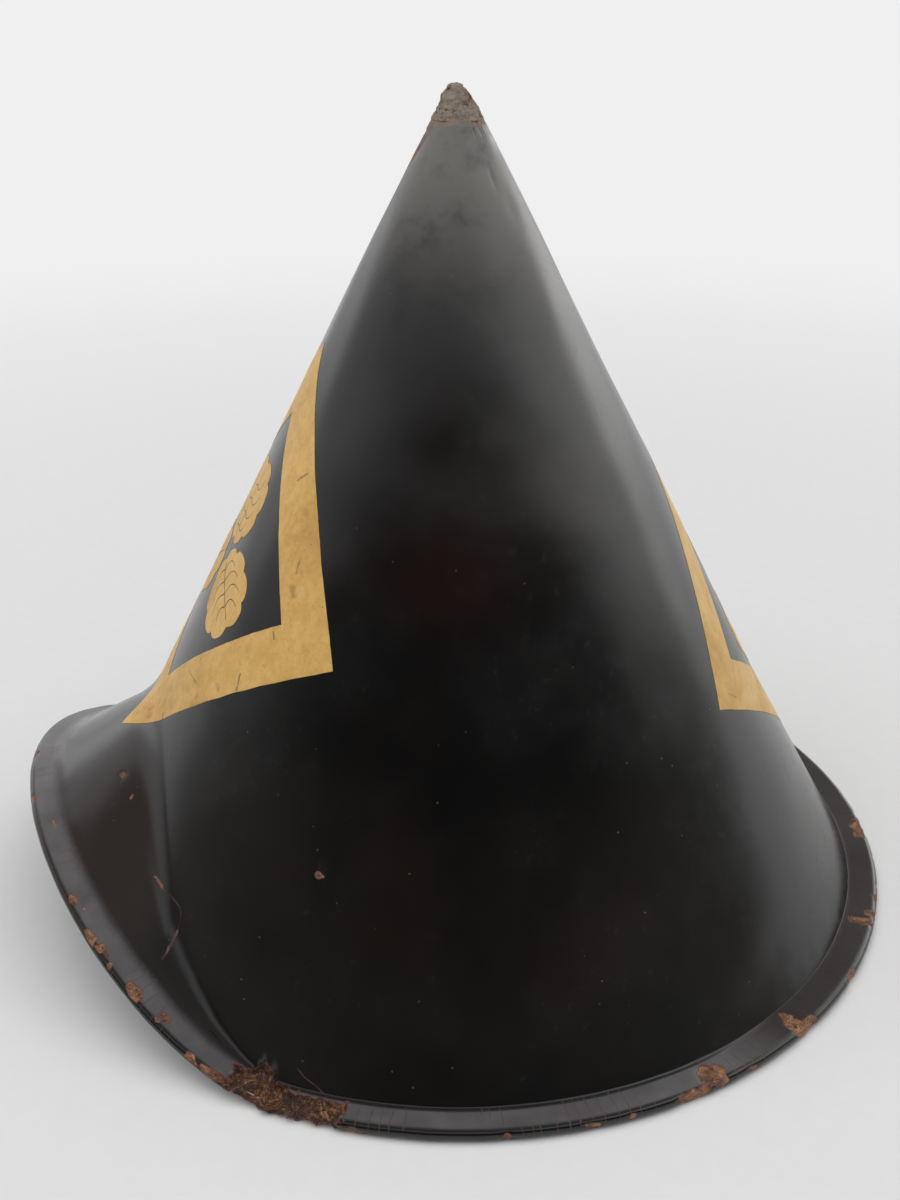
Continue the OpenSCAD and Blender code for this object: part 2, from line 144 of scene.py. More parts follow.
def rounded_section(a):
    """Wall, visor's slope and lip at one angle, with soft corners at the crease and the lip."""
    corner_z = max(FLANGE_TOP + lift(a) + arch(a), EDGE_H + lift(a))
    lip_z = EDGE_H + lift(a)
    wall_z = np.linspace(SHELL_TOP + 0.6, corner_z, 200)
    corner_r = wall_r(corner_z)
    lip_r = max(rim_r(a) - LIP_W, corner_r + 0.2)
    knots_r = np.append(wall_r(wall_z), [lip_r, rim_r(a) - EDGE_R])
    knots_z = np.append(wall_z, [lip_z, lip_z])
    path = np.concatenate([[0], np.cumsum(np.hypot(np.diff(knots_r), np.diff(knots_z)))])
    corner, lip, end = path[-3:]
    on_visor = 1 - smooth(abs(a), CREASE_SPAN, FOOT_FROM)
    crease_half = mix(FOOT_CORNER, min(SOFT_CREASE, SOFT_LIP + (lip - corner) / 2), on_visor)
    lip_half = mix(FOOT_CORNER, SOFT_LIP, on_visor)
    middle = (lip - corner) * 0.49
    after_crease = corner + min(1.1 * crease_half, middle)
    before_lip = lip - min(1.1 * lip_half, middle)
    stops = [0, corner - 1.1 * crease_half, after_crease, before_lip, lip + 1.1 * lip_half, end]
    counts = [WALL_ROWS, BEND_ROWS, SLOPE_ROWS, BEND_ROWS, LIP_ROWS]
    at = np.concatenate([[0]] + [np.linspace(p, q, n)[1:]
                                 for p, q, n in zip(stops[:-1], stops[1:], counts)])
    narrowed = after_crease + 2.2 * (crease_half - lip_half) + 0.01
    half = np.interp(at, [corner - 2.6 * crease_half, corner - crease_half, after_crease,
                          narrowed], [0, crease_half, crease_half, lip_half])
    half = np.minimum(half, np.maximum(0, (end - at) * 0.6))
    spread = np.linspace(-1, 1, 17)[:, None] * half + at
    return (np.interp(spread, path, knots_r).mean(0), np.interp(spread, path, knots_z).mean(0))


def skin_sections(a):
    """Radius and height of the outer skin for each angle in a, from the top of the shell down
    the wall, over the bend, the visor's slope and the lip, and round the edge to its underside."""
    a = np.asarray(a, float)
    upper = np.array([rounded_section(value) for value in a])
    a = a[:, None]
    lip_end = rim_r(a) - EDGE_R
    turn = np.linspace(0, np.pi, ARC_ROWS)[None, 1:]
    t = np.linspace(0, 1, UNDER_ROWS)[None, 1:]
    under_end = rim_r(a) - UNDER_W
    roll = BINDING_T * smooth(t, 0.8, 1)
    r = [upper[:, 0], lip_end + EDGE_R * np.sin(turn), mix(lip_end, under_end, t)]
    z = [upper[:, 1], lift(a) + EDGE_R + EDGE_R * np.cos(turn), lift(a) + roll]
    return np.concatenate(r, 1), np.concatenate(z, 1)


def path_from_point(r, z):
    """Distance along each section from the cone's theoretical point."""
    steps = np.hypot(np.diff(r, axis=1), np.diff(z, axis=1))
    first = (POINT_H - z[:, :1]) / COS_H
    return np.concatenate([first, first + np.cumsum(steps, 1)], 1)


def placed(a, r, z):
    """Points in metres in the hat's frame, from angles, radii and heights."""
    a = np.asarray(a, float) * RADIANS
    return np.stack([r * np.sin(a), -r * np.cos(a) - RIM_BACK, z + 0 * r * a], -1) * MM


def outward(a):
    """Level arrows a millimetre long, away from the axis."""
    a = np.asarray(a, float) * RADIANS
    return np.stack([np.sin(a), -np.cos(a), 0 * a], -1) * MM


def turn_from(at, a):
    """Degrees from one angle to others, the short way round."""
    return (a - at + 180) % 360 - 180


NOISE_CELLS = 32


def lattice_noise(points, cell, seed):
    """Smooth noise from -1 to 1 on points in millimetres, with cells of that size."""
    table = np.random.default_rng(seed).uniform(-1, 1, (NOISE_CELLS,) * 3)
    q = points / cell
    low = np.floor(q).astype(int)
    f = q - low
    f = f * f * (3 - 2 * f)
    total = 0
    for step in product((0, 1), repeat=3):
        i, j, k = np.moveaxis((low + step) % NOISE_CELLS, -1, 0)
        total = total + table[i, j, k] * np.abs(1 - np.array(step) - f).prod(-1)
    return total


# Chips in the lacquer: angle from the front, distance in from the edge, and half sizes
# along and across the rim, in degrees and millimetres
EDGE_CHIPS = [
    (7.5, 0.5, 2.2, 1.6), (12.5, 8.5, 1.2, 0.9), (24.5, 3.5, 2.2, 1.7), (26, 6, 0.9, 0.8),
    (29.3, 2.5, 2.7, 2.0), (31.6, 3.4, 2.8, 1.6), (33.4, 2.2, 1.9, 1.5), (37.6, 3.6, 3.5, 1.9),
    (41.8, 4.6, 2.1, 1.7), (46.8, 1.2, 3.4, 1.5), (49.4, 0.8, 3.2, 1.9), (51.2, 1.6, 3, 2.4),
    (66.8, -0.6, 4.4, 1.3), (104.2, 0.2, 5.4, 2.4), (107.8, 4.5, 4.4, 6.4),
    (121.3, 4.5, 3.2, 6.6), (123.2, 1.0, 3.4, 3.6), (144.6, 5.6, 2.2, 5.4),
    (147, 2.2, 2.6, 3.2), (150.4, 1.2, 3.2, 2.4), (153.8, 0.6, 2.6, 1.6), (160, 0.4, 3, 1.6),
    (166.5, 3.2, 7.2, 3.6), (171, 0.4, 4, 1.8), (83, 0, 1.6, 1), (92.4, -0.3, 2.2, 1.2),
    (97, 0.2, 1.4, 1.2), (112.6, 0.2, 1.8, 1.2), (134, 0.4, 2.4, 1.5), (139.5, 0.8, 1.6, 1.2),
]
FAR_CHIP_COUNT = 26
for _ in range(FAR_CHIP_COUNT):
    long_side = rng.uniform(1.4, 5.5)
    EDGE_CHIPS.append((-rng.uniform(3, 178), rng.uniform(-0.5, 3.5), long_side,
                       long_side * rng.uniform(0.4, 0.8)))
# Chips on the wall and the visor's slope: angle, distance from the point, half sizes
FACE_CHIPS = [(56.4, 282.3, 2.1, 1.2), (12, 289.6, 1.9, 1.5), (16.4, 292.3, 0.9, 0.9),
              (-63, 262, 1.8, 1.1), (-118, 301, 2.4, 1.3), (152, 171, 1.2, 0.9)]
TORN_FROM, TORN_TO = 51.5, 65.0      # where the lip's lacquer is torn off, in degrees
TORN_IN = 12.5                       # how far in from the edge it is gone
LACQUER_TOP = 296.5                  # height at which the lacquer ends, under the bare tip


def torn_part(a, w, fade, reach):
    """1 over the torn place, fading out over so many degrees and by so far in from the edge."""
    sides = smooth(a, TORN_FROM - fade, TORN_FROM) * smooth(-a, -TORN_TO - fade, -TORN_TO)
    return sides * smooth(-w, -reach, 6 - reach)


def chip_field(a, s, w, r, points):
    """Above 0 where the lacquer is gone. w is the distance in from the edge."""
    drift = 1.3 * lattice_noise(points, 3.4, 5) + 0.8 * lattice_noise(points, 1.5, 6)
    slip = 1.1 * lattice_noise(points, 2.9, 7) + 0.7 * lattice_noise(points, 1.3, 8)
    drifted = a + drift / RADIANS / np.maximum(r, 20)
    field = np.full(a.shape, -1.0)
    for chips, across in ((EDGE_CHIPS, w + slip), (FACE_CHIPS, s + slip)):
        for at, chip_at, half_along, half_across in chips:
            along = turn_from(at, drifted) * RADIANS * r
            near = np.hypot(along / half_along, (across - chip_at) / half_across)
            field = np.maximum(field, 1 - near)
    middle, half = (TORN_FROM + TORN_TO) / 2, (TORN_TO - TORN_FROM) / 2
    spur = 5.5 * np.exp(-((a - 54.6) / 1.5) ** 2)       # a tongue of it tore further in
    torn = np.minimum((half - np.abs(a - middle)) / 2.2, (TORN_IN - 3 + spur - w) / 4)
    torn = np.minimum(torn, (w + 6.5) / 2)
    # the lacquer's torn edge by the tip runs lowest on the front's left
    dip = 14 * np.exp(-(turn_from(-2, a) / 17) ** 2)
    tip = (POINT_H - s * COS_H - (LACQUER_TOP - dip)) / 5
    for part in (torn, tip):
        field = np.maximum(field, np.clip(part, -1, 1))
    return field + (0.32 * lattice_noise(points, 2.1, 3) + 0.16 * lattice_noise(points, 0.9, 4))


# Dents near the tip: angle, distance from the point, half sizes, and depth
DENTS = [(42, 35.2, 3.4, 0.9, 0.75), (42, 37.3, 3.0, 1.1, -0.3), (117.6, 40.8, 1.1, 2.3, 0.7),
         (128, 52, 3, 5, 0.35), (60, 60, 7, 12, 0.3), (100, 74, 6, 10, -0.25)]


def skin_offset(a, s, w, r, points, chip):
    """How far the skin stands out from the true form, in millimetres."""
    def rough(cell, seed):
        return lattice_noise(points, cell, seed)

    fade = smooth(w, 10, 40)
    out = (0.42 * rough(46, 11) + 0.16 * rough(19, 12)) * fade + 0.12 * rough(8, 13) * (1 - fade)
    for at, path, half_along, half_across, depth in DENTS:
        along = turn_from(at, a) * RADIANS * r
        out -= depth * np.exp(-(along / half_along) ** 2 - ((s - path) / half_across) ** 2)
    gone = smooth(chip, -0.02, 0.16)
    torn = gone * torn_part(a, w, 2, 24)
    ridges = np.abs(lattice_noise(points * np.array([1, 1, 2.0]), 3.2, 15))
    out += torn * (1.5 * rough(2.4, 14) - 1.7 * ridges + 0.5 * rough(1.1, 16)) - 0.34 * gone
    out = np.where((torn > 0) & (w < 8), np.maximum(out, -0.85), out)
    tip_worn = gone * smooth(-s, -42, -24)
    return out + tip_worn * (0.55 * rough(2.2, 17) + 0.3 * rough(1.1, 18))


def skin_angles():
    """Angles of the skin's sections, closer together where the edge is worn most."""
    worn_from, worn_to = TORN_FROM - 4, TORN_TO + 4
    return np.concatenate([np.arange(*span) for span in (
        (-180, 4, 1), (4, worn_from, 0.5), (worn_from, worn_to, 0.25), (worn_to, 176, 0.5),
        (176, 180, 1))])


class Surface:
    """The finished skin as a table, so that what is painted or fixed on it can follow it."""

    def __init__(self, angles):
        self.a = np.asarray(angles, float)
        self.r, self.z = skin_sections(self.a)
        self.s = path_from_point(self.r, self.z)
        self.w = self.s[:, EDGE_ROW:EDGE_ROW + 1] - self.s
        self.wide = np.broadcast_to(self.a[:, None], self.r.shape)
        self.true = placed(self.wide, self.r, self.z)
        self.normal = self.normals(self.true)
        places = (self.wide, self.s, self.w, self.r, self.true / MM)
        self.chip = chip_field(*places)
        self.points = self.true + self.normal * (skin_offset(*places, self.chip) * MM)[..., None]

    @staticmethod
    def normals(p):
        around = np.roll(p, -1, 0) - np.roll(p, 1, 0)
        down = np.gradient(p, axis=1)
        n = np.cross(down, around)
        return n / np.linalg.norm(n, axis=-1, keepdims=True)

    def at(self, a, s):
        """Point and outward normal of the skin at an angle and a distance from the point."""
        a = turn_from(0, a)
        k = int(np.searchsorted(self.a, a, side="right") - 1)
        n = (k + 1) % len(self.a)
        step = (self.a[n] - self.a[k]) % 360
        t = (a - self.a[k]) / step
        found = []
        for j in (k, n):
            row = np.interp(s, self.s[j], np.arange(self.s.shape[1]))
            i = min(int(row), self.s.shape[1] - 2)
            f = row - i
            found.append([mix(table[j, i], table[j, i + 1], f)
                          for table in (self.points, self.normal)])
        point, normal = (mix(*pair, t) for pair in zip(*found))
        return point, normal / np.linalg.norm(normal)


surface = Surface(skin_angles())


# ---------------------------------------------------------------- mesh helpers

def in_scene(name, data):
    obj = bpy.data.objects.new(name, data)
    bpy.context.scene.collection.objects.link(obj)
    return obj


def mesh_object(name, points, faces, attributes=None):
    mesh = bpy.data.meshes.new(name)
    mesh.from_pydata(np.asarray(points, float).reshape(-1, 3).tolist(), [], faces)
    mesh.validate()
    for key, values in (attributes or {}).items():
        layer = mesh.attributes.new(key, "FLOAT", "POINT")
        layer.data.foreach_set("value", np.asarray(values, np.float32).ravel())
    mesh.shade_smooth()
    mesh.update()
    return in_scene(name, mesh)


def grid_faces(columns, rows, around=True, down=False):
    """Quads of a grid whose points are numbered column by column."""
    faces = []
    for k in range(columns if around else columns - 1):
        n = (k + 1) % columns
        for i in range(rows if down else rows - 1):
            j = (i + 1) % rows
            faces.append((k * rows + i, k * rows + j, n * rows + j, n * rows + i))
    return faces


def coated(obj, material):
    obj.data.materials.clear()
    obj.data.materials.append(material)


def finished(obj, material, slot, *nodes):
    """Gives a piece its material and its body, and hides the solids that it stands for."""
    coated(obj, material)
    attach(obj, BODY)
    if nodes:
        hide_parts(*nodes)


def closed_normals(obj, merge=0):
    """Makes a closed mesh's faces look outwards, and may first merge points that coincide."""
    bm = bmesh.new()
    bm.from_mesh(obj.data)
    if merge:
        bmesh.ops.remove_doubles(bm, verts=bm.verts, dist=merge)
    bmesh.ops.recalc_face_normals(bm, faces=bm.faces)
    bm.to_mesh(obj.data)
    bm.free()


def thread_run(path, radius, sides=5):
    """Points and faces of a short round thread along a path."""
    ahead = np.gradient(np.asarray(path), axis=0)
    ahead /= np.linalg.norm(ahead, axis=1, keepdims=True)
    side = np.cross(ahead[0], [0, 0, 1.0])
    points = []
    for place, forward in zip(path, ahead):
        side = side - forward * (side @ forward)
        side /= np.linalg.norm(side)
        across = np.cross(forward, side)
        for i in range(sides):
            t = 2 * math.pi * i / sides
            points.append(place + radius * (math.cos(t) * side + math.sin(t) * across))
    faces = grid_faces(len(path), sides, around=False, down=True)
    last = range(len(points) - sides, len(points))
    return points, faces + [tuple(range(sides))[::-1], tuple(last)]


def joined(pieces):
    """One list of points and faces from several."""
    points, faces = [], []
    for more_points, more_faces in pieces:
        base = len(points)
        points += list(more_points)
        faces += [tuple(base + i for i in f) for f in more_faces]
    return points, faces


# ---------------------------------------------------------------- materials

class Value:
    """A socket's value. Arithmetic on it adds Math nodes."""

    def __init__(self, paint, socket):
        self.paint = paint
        self.socket = socket

    def math(self, operation, *values):
        return self.paint.add("ShaderNodeMath", {"operation": operation},
                              **{str(i): v for i, v in enumerate(values)})

    def __add__(self, other):
        return self.math("ADD", self, other)

    def __mul__(self, other):
        return self.math("MULTIPLY", self, other)

    __radd__, __rmul__ = __add__, __mul__

    def __sub__(self, other):
        return self.math("SUBTRACT", self, other)

    def __rsub__(self, other):
        return self.math("SUBTRACT", other, self)

    def most(self, other):
        return self.math("MAXIMUM", self, other)

    def size(self):
        return self.math("ABSOLUTE", self)

    def wave(self):
        return self.math("SINE", self)

    def rise(self, low, high):
        """0 below low, 1 above high, smooth between."""
        return self.paint.add("ShaderNodeMapRange", {"interpolation_type": "SMOOTHSTEP"},
                              **{"Value": self, "From Min": low, "From Max": high})


class Nodes:
    """A tree of nodes being drawn: it makes nodes and hands back their values."""

    def __init__(self, tree):
        self.tree = tree

    def put(self, socket, value):
        if isinstance(value, Value):
            self.tree.links.new(value.socket, socket)
        elif socket.type == "RGBA":
            socket.default_value = (*value, 1)
        else:
            socket.default_value = value

    def add(self, kind, settings=None, out=0, **sockets):
        node = self.tree.nodes.new(kind)
        for key, value in (settings or {}).items():
            setattr(node, key, value)
        for key, value in sockets.items():
            self.put(node.inputs[int(key) if key.isdigit() else key], value)
        return Value(self, node.outputs[out])

    def colour(self, factor, first, second, blend="MIX"):
        return self.add("ShaderNodeMix", {"data_type": "RGBA", "blend_type": blend}, out=2,
                        **{"0": factor, "6": first, "7": second})

    def coats(self, base, *layers):
        """Colours laid over a first one in turn, each with how much of it shows."""
        for share, coat in layers:
            base = self.colour(share, base, coat)
        return base

    def vector(self, operation, first, second, out="Value"):
        return self.add("ShaderNodeVectorMath", {"operation": operation}, out=out,
                        **{"0": first, "Scale" if operation == "SCALE" else "1": second})


class Paint(Nodes):
    """A material being drawn around one Principled shader."""

    def __init__(self, name, **constants):
        self.material = bpy.data.materials.new(name)
        self.material.use_nodes = True
        super().__init__(self.material.node_tree)
        self.shader = self.tree.nodes["Principled BSDF"]
        for key, value in constants.items():
            self.shader.inputs[key.replace("_", " ")].default_value = value
        self.place = self.add("ShaderNodeTexCoord", out="Object")

    def noise(self, size, detail=2.0, rough=0.5, stretch=(1, 1, 1), warp=0.0):
        """Noise from 0 to 1 whose blobs are about size metres, longer where stretch is above 1."""
        scaled = self.add("ShaderNodeMapping", Vector=self.place,
                          Scale=tuple(1 / s for s in stretch))
        return self.add("ShaderNodeTexNoise", Vector=scaled, Scale=0.5 / size, Detail=detail,
                        Roughness=rough, Distortion=warp)

    def waver(self, size, amount):
        """Noise about 0, to shift the edge of a mark by."""
        return (self.noise(size, 3, 0.6) - 0.5) * amount

    def cells(self, size, feature="F1", out="Distance"):
        return self.add("ShaderNodeTexVoronoi", {"feature": feature}, out=out,
                        Vector=self.place, Scale=1 / size)

    def specks(self, size, edge, share):
        """Small round marks, in those cells whose random number comes high enough."""
        pick = self.add("ShaderNodeSeparateColor", Color=self.cells(size, out="Color"))
        return (1 - self.cells(size).rise(*edge)) * pick.rise(*share)

    def attribute(self, name):
        return self.add("ShaderNodeAttribute", {"attribute_name": name}, out="Fac")

    def streak(self, start, end, waver, core, edge):
        """1 on the wavering line between two points, and 0 beyond its edge."""
        ahead = Vector(end) - Vector(start)
        away = self.vector("SUBTRACT", self.place, Vector(start), "Vector")
        along = self.vector("DOT_PRODUCT", away, ahead.normalized())
        along = self.add("ShaderNodeClamp", Value=along, Min=0.0, Max=ahead.length)
        foot = self.vector("SCALE", ahead.normalized(), along, "Vector")
        return 1 - (self.vector("DISTANCE", away, foot) + waver).rise(core, edge)

    def streaks(self, runs, *form):
        return reduce(Value.most, [self.streak(*run, *form) for run in runs])

    def from_point(self, point):
        return self.vector("DISTANCE", self.place, Vector(point))

    def done(self, colour=None, roughness=None, height=None, depth=0.0003, metallic=None):
        for key, value in (("Base Color", colour), ("Roughness", roughness),
                           ("Metallic", metallic)):
            if value is not None:
                self.put(self.shader.inputs[key], value)
        if height is not None:
            bump = self.add("ShaderNodeBump", Height=height, Distance=depth, Strength=1.0)
            self.put(self.shader.inputs["Normal"], bump)
        return self.material


# Colours, as linear light
LACQUER_BLACK = (0.0030, 0.0027, 0.0026)
LACQUER_BROWN = (0.0078, 0.0055, 0.0045)
LACQUER_RED = (0.0110, 0.0036, 0.0034)
VISOR_BROWN = (0.0215, 0.0145, 0.0122)
# painted reflection: the pale grey laid into the colour of the lip's rubbed front half
LIP_SHEEN_GREY = (0.125, 0.120, 0.124)
LIP_DARK = (0.018, 0.012, 0.011)
# painted sheen: the grey laid into the lacquer's colour towards the top
SCUFF_SHEEN_GREY = (0.205, 0.195, 0.180)
TIP_GREY = (0.230, 0.195, 0.160)
TIP_DULL = (0.150, 0.125, 0.103)
TIP_PALE = (0.330, 0.285, 0.230)
PRIMER_RED = (0.115, 0.030, 0.018)
CORE_TAN = (0.370, 0.165, 0.078)
CORE_PALE = (0.460, 0.300, 0.170)
CORE_BROWN = (0.125, 0.056, 0.034)
CORE_DARK = (0.030, 0.015, 0.010)
TORN_BROWN = (0.560, 0.470, 0.400)
DUST = (0.24, 0.22, 0.19)
GOLD = (0.66, 0.385, 0.098)
GOLD_PALE = (0.76, 0.480, 0.150)
GOLD_DEEP = (0.46, 0.235, 0.056)
STAIN = (0.085, 0.042, 0.018)
WIDE_MARK = 0.0015     # a wider mark in the gold is a faint stain, not a scratch


def bare_core(paint, fibre_size=0.0013):
    """Colour and height of the frayed hide and paper that shows where lacquer is gone."""
    blotch = paint.noise(0.0040, 4, 0.65)
    fibre = paint.noise(fibre_size, 5, 0.75, stretch=(1, 1, 0.35), warp=1.2)
    strand = paint.noise(0.0007, 4, 0.7, stretch=(1.6, 1.6, 0.5), warp=2.0)
    tan = paint.coats(CORE_BROWN, (blotch.rise(0.40, 0.62), CORE_TAN),
                      (strand.rise(0.50, 0.64) * 0.6, CORE_PALE))
    return paint.colour(fibre.rise(0.36, 0.52), CORE_DARK, tan), fibre * 0.7 + strand * 0.3


def lacquer_material():
    paint = Paint("brown_black_lacquer", IOR=1.57)
    lip, rubbed, by_tip, torn = (
        paint.attribute(name) for name in ("lip", "rubbed", "by_tip", "torn"))
    ragged = paint.attribute("chip") + paint.waver(0.0007, 0.30)
    bare = ragged.rise(0.02, 0.07)
    primer = ragged.rise(-0.10, -0.04)

    # the crack's fine stretches, its flaked ones, and the hair cracks across the edge
    fine = paint.streaks(FOOT_CRACK, paint.waver(0.0016, 0.0011), 0.00008, 0.00026)
    flaked = paint.streaks(FOOT_FLAKES, paint.waver(0.0011, 0.0022), 0.00020, 0.00065)
    arc = paint.attribute("arc") + (paint.noise(0.004) - 0.5) * 0.0025
    hair = paint.add("ShaderNodeTexVoronoi",
                     {"voronoi_dimensions": "1D", "feature": "DISTANCE_TO_EDGE"},
                     W=arc, Scale=1 / 0.0042)
    hair = (1 - hair.rise(0.012, 0.045)) * paint.attribute("hair")
    hair = hair * paint.noise(0.007).rise(0.44, 0.58)

    cloudy = paint.noise(0.035, 3, 0.55).rise(0.38, 0.70)
    red_spot = (1 - paint.from_point(RED_PATCH).rise(0.004, 0.030)) * 0.75
    red = red_spot.most(paint.noise(0.018).rise(0.62, 0.80) * 0.5)
    mottle = paint.noise(0.006, 4, 0.6).rise(0.15, 0.85) * 0.5 + 0.5
    # the lip's own dark lacquer, painted pale grey as a painted reflection where it is rubbed
    lip_colour_and_sheen = paint.colour(rubbed * mottle, LIP_DARK, LIP_SHEEN_GREY)
    # patchy towards the top: scuffed rougher, and painted grey as a painted sheen
    scuffed = paint.attribute("scuffed") * paint.noise(0.009, 4, 0.65).rise(0.15, 0.55)
    speck = paint.specks(0.0042, (0.03, 0.11), (0.84, 0.98))
    brown = paint.coats(
        LACQUER_BLACK, (cloudy, LACQUER_BROWN), (red, LACQUER_RED),
        (paint.attribute("visor") * 0.8, VISOR_BROWN), (lip, lip_colour_and_sheen),
        (scuffed * 0.8, SCUFF_SHEEN_GREY), (speck * 0.30, DUST),
        (hair * (0.25 + rubbed * 0.45), PRIMER_RED), (fine * 0.5, CORE_BROWN))

    core, fibre = bare_core(paint)
    layers = paint.noise(0.0042, 4, 0.7, stretch=(1.0, 1.0, 0.5), warp=1.6)
    # dark lines along the splits between the torn layers: painted shade in those crevices, which
    # are also cut in as grooves
    split_shade = layers.rise(0.44, 0.495) * (1 - layers.rise(0.505, 0.56)) * torn
    core = paint.coats(
        core, (torn * 0.9, paint.colour(1.0, core, TORN_BROWN, "MULTIPLY")),
        (split_shade * 0.85, CORE_DARK), (layers.rise(0.60, 0.72) * torn * 0.6, CORE_PALE),
        (by_tip.rise(0.6, 0.95) * 0.8, TIP_GREY))
    colour = paint.coats(brown, (flaked * 0.75, core), (primer * (1 - by_tip * 0.9), PRIMER_RED),
                         (bare, core))

    smudge = paint.noise(0.022, 5, 0.6).rise(0.3, 0.75)
    gloss = 0.175 + smudge * 0.10 + paint.noise(0.0016).rise(0.55, 0.8) * 0.05
    roughness = gloss + lip * (0.60 - rubbed * 0.44) + speck * 0.3 + scuffed * 0.28
    roughness = roughness.most(primer * 0.55).most(bare * 0.86).most(flaked * 0.8)
    skin = paint.noise(0.0035) * 0.05 + paint.noise(0.012) * 0.16
    height = skin + (fibre * 1.1 - split_shade * 1.2 - 0.5) * bare - hair * 0.35 - fine * 0.4
    return paint.done(colour, roughness, height, depth=0.00028)


def core_material():
    """The rough worn tip."""
    paint = Paint("worn_core")
    core, fibre = bare_core(paint, 0.0010)
    grey = paint.noise(0.0034, 4, 0.6).rise(0.34, 0.52)
    felted = paint.colour(fibre.rise(0.30, 0.62), TIP_DULL, TIP_PALE)
    pits = paint.noise(0.0013, 4, 0.7).rise(0.30, 0.44)
    core = paint.colour(pits, CORE_DARK, paint.colour(grey * 0.92, core, felted))
    return paint.done(core, 0.66 + fibre * 0.3, fibre * 0.8 + pits * 0.6, depth=0.0005)


def gold_material(name, marks):
    """Old gold-ochre lacquer paint with rubbed mottling, stains and short dark scratches."""
    paint = Paint(name, IOR=1.5)
    brushed = paint.noise(0.0021, 5, 0.68, stretch=(1.0, 1.0, 2.2))
    broad = paint.noise(0.012, 4, 0.6)
    grain = paint.noise(0.0008, 3, 0.6)
    grime = paint.noise(0.0055, 5, 0.72).rise(0.52, 0.74) * paint.noise(0.024).rise(0.40, 0.66)
    nick = paint.specks(0.0050, (0.03, 0.09), (0.62, 0.82))
    waver = paint.waver(0.0011, 1.5)
    dark = reduce(Value.most, [
        paint.streak(start, end, waver * width, width * 0.1, width * 0.9)
        * (0.62 if width < WIDE_MARK else 0.34) for start, end, width in marks])
    gold = paint.coats(
        GOLD, (brushed.rise(0.32, 0.68), GOLD_PALE), (broad.rise(0.46, 0.74) * 0.6, GOLD_DEEP),
        (grain.rise(0.50, 0.70) * 0.30, GOLD_DEEP), (grime * 0.42, STAIN), (nick * 0.55, STAIN),
        (dark, STAIN))
    roughness = 0.40 + broad.rise(0.3, 0.7) * 0.14 + grime * 0.25
    height = brushed * 0.25 + grain * 0.25 - grime * 0.3 - nick * 0.5
    return paint.done(gold, roughness, height, depth=0.00012)


def lining_material():
    """Red-brown lacquer brushed over cloth."""
    paint = Paint("lacquered_cloth", IOR=1.5)
    turns = 2 * math.pi / 0.0021
    weave = (paint.attribute("arc") * turns).wave() * (paint.attribute("path") * turns).wave()
    cloudy = paint.noise(0.03, 4, 0.6).rise(0.35, 0.7)
    dull = paint.noise(0.008, 4, 0.65).rise(0.5, 0.75)
    colour = paint.coats((0.062, 0.0125, 0.0085), (cloudy, (0.110, 0.026, 0.016)),
                         (dull * 0.5, (0.040, 0.012, 0.009)))
    height = weave * 0.5 + paint.noise(0.004, 3) * 0.5
    return paint.done(colour, 0.34 + dull * 0.25, height, depth=0.00022)


def cloth_material(name, dark, pale, thread_size, worn=(0.2, 0.16, 0.1)):
    paint = Paint(name, Sheen_Weight=0.35, Sheen_Roughness=0.5)
    turns = 2 * math.pi / thread_size
    x, y, z = (paint.add("ShaderNodeSeparateXYZ", out=axis, Vector=paint.place) for axis in "XYZ")
    weave = ((x + z * 0.6) * turns).wave() * ((y - z * 0.6) * turns).wave() * 0.5 + 0.5
    slub = paint.noise(0.0035, 4, 0.6, stretch=(3, 1, 1))
    soiled = paint.noise(0.02, 4, 0.6).rise(0.5, 0.8)
    colour = paint.coats(dark, (weave * 0.6 + slub * 0.4, pale), (soiled * 0.45, worn))
    return paint.done(colour, 0.86 + slub * 0.1, weave * 0.7 + slub * 0.6, depth=0.00035)


def wood_material(name, dark, pale, size=0.0016):
    paint = Paint(name, IOR=1.46)
    grain = paint.noise(size, 6, 0.7, stretch=(1, 1, 0.28), warp=0.6)
    bands = paint.noise(size * 3, 3, 0.5, stretch=(1, 1, 0.22))
    handled = paint.noise(0.014, 3, 0.6).rise(0.5, 0.78)
    colour = paint.coats(dark, (grain * 0.55 + bands * 0.45, pale), (handled * 0.4, dark))
    return paint.done(colour, 0.50 + grain * 0.25, grain, depth=0.0002)


def hide_material():
    paint = Paint("brown_hide", IOR=1.47)
    pebble = paint.cells(0.0011, "DISTANCE_TO_EDGE")
    tone = paint.noise(0.006, 4, 0.6)
    colour = paint.coats((0.062, 0.026, 0.013), (tone.rise(0.3, 0.7), (0.145, 0.066, 0.034)),
                         (1 - pebble.rise(0.01, 0.12), (0.03, 0.013, 0.008)))
    return paint.done(colour, 0.48 + tone * 0.25, pebble.rise(0.0, 0.25) + tone * 0.5,
                      depth=0.00022)


def metal_material(name, bare, tarnish, rust, rough):
    paint = Paint(name)
    patina = paint.noise(0.0024, 5, 0.65)
    spots = paint.noise(0.0009, 4, 0.6).rise(0.55, 0.72)
    colour = paint.coats(bare, (patina.rise(0.36, 0.64), tarnish), (spots * 0.55, rust))
    scratch = paint.noise(0.00025, 3, 0.5, stretch=(1, 1, 7))
    return paint.done(colour, rough + patina * 0.25 + spots * 0.2, patina + scratch * 0.3,
                      depth=0.00010, metallic=1 - spots * 0.6)


def thread_material(name, dark, pale):
    paint = Paint(name, Sheen_Weight=0.3)
    twist = paint.noise(0.0005, 3, 0.6)
    return paint.done(paint.colour(twist, dark, pale), 0.8 + twist * 0.1, twist, depth=0.0002)


# ---------------------------------------------------------------- marks on the skin

def on_skin(a, s):
    return surface.at(a, s)[0]


def runs(points):
    """Pairs of neighbouring points on the skin, from a list of (angle, distance) places."""
    spots = [on_skin(*p) for p in points]
    return list(zip(spots[:-1], spots[1:]))


RED_PATCH = on_skin(76, 178.7)
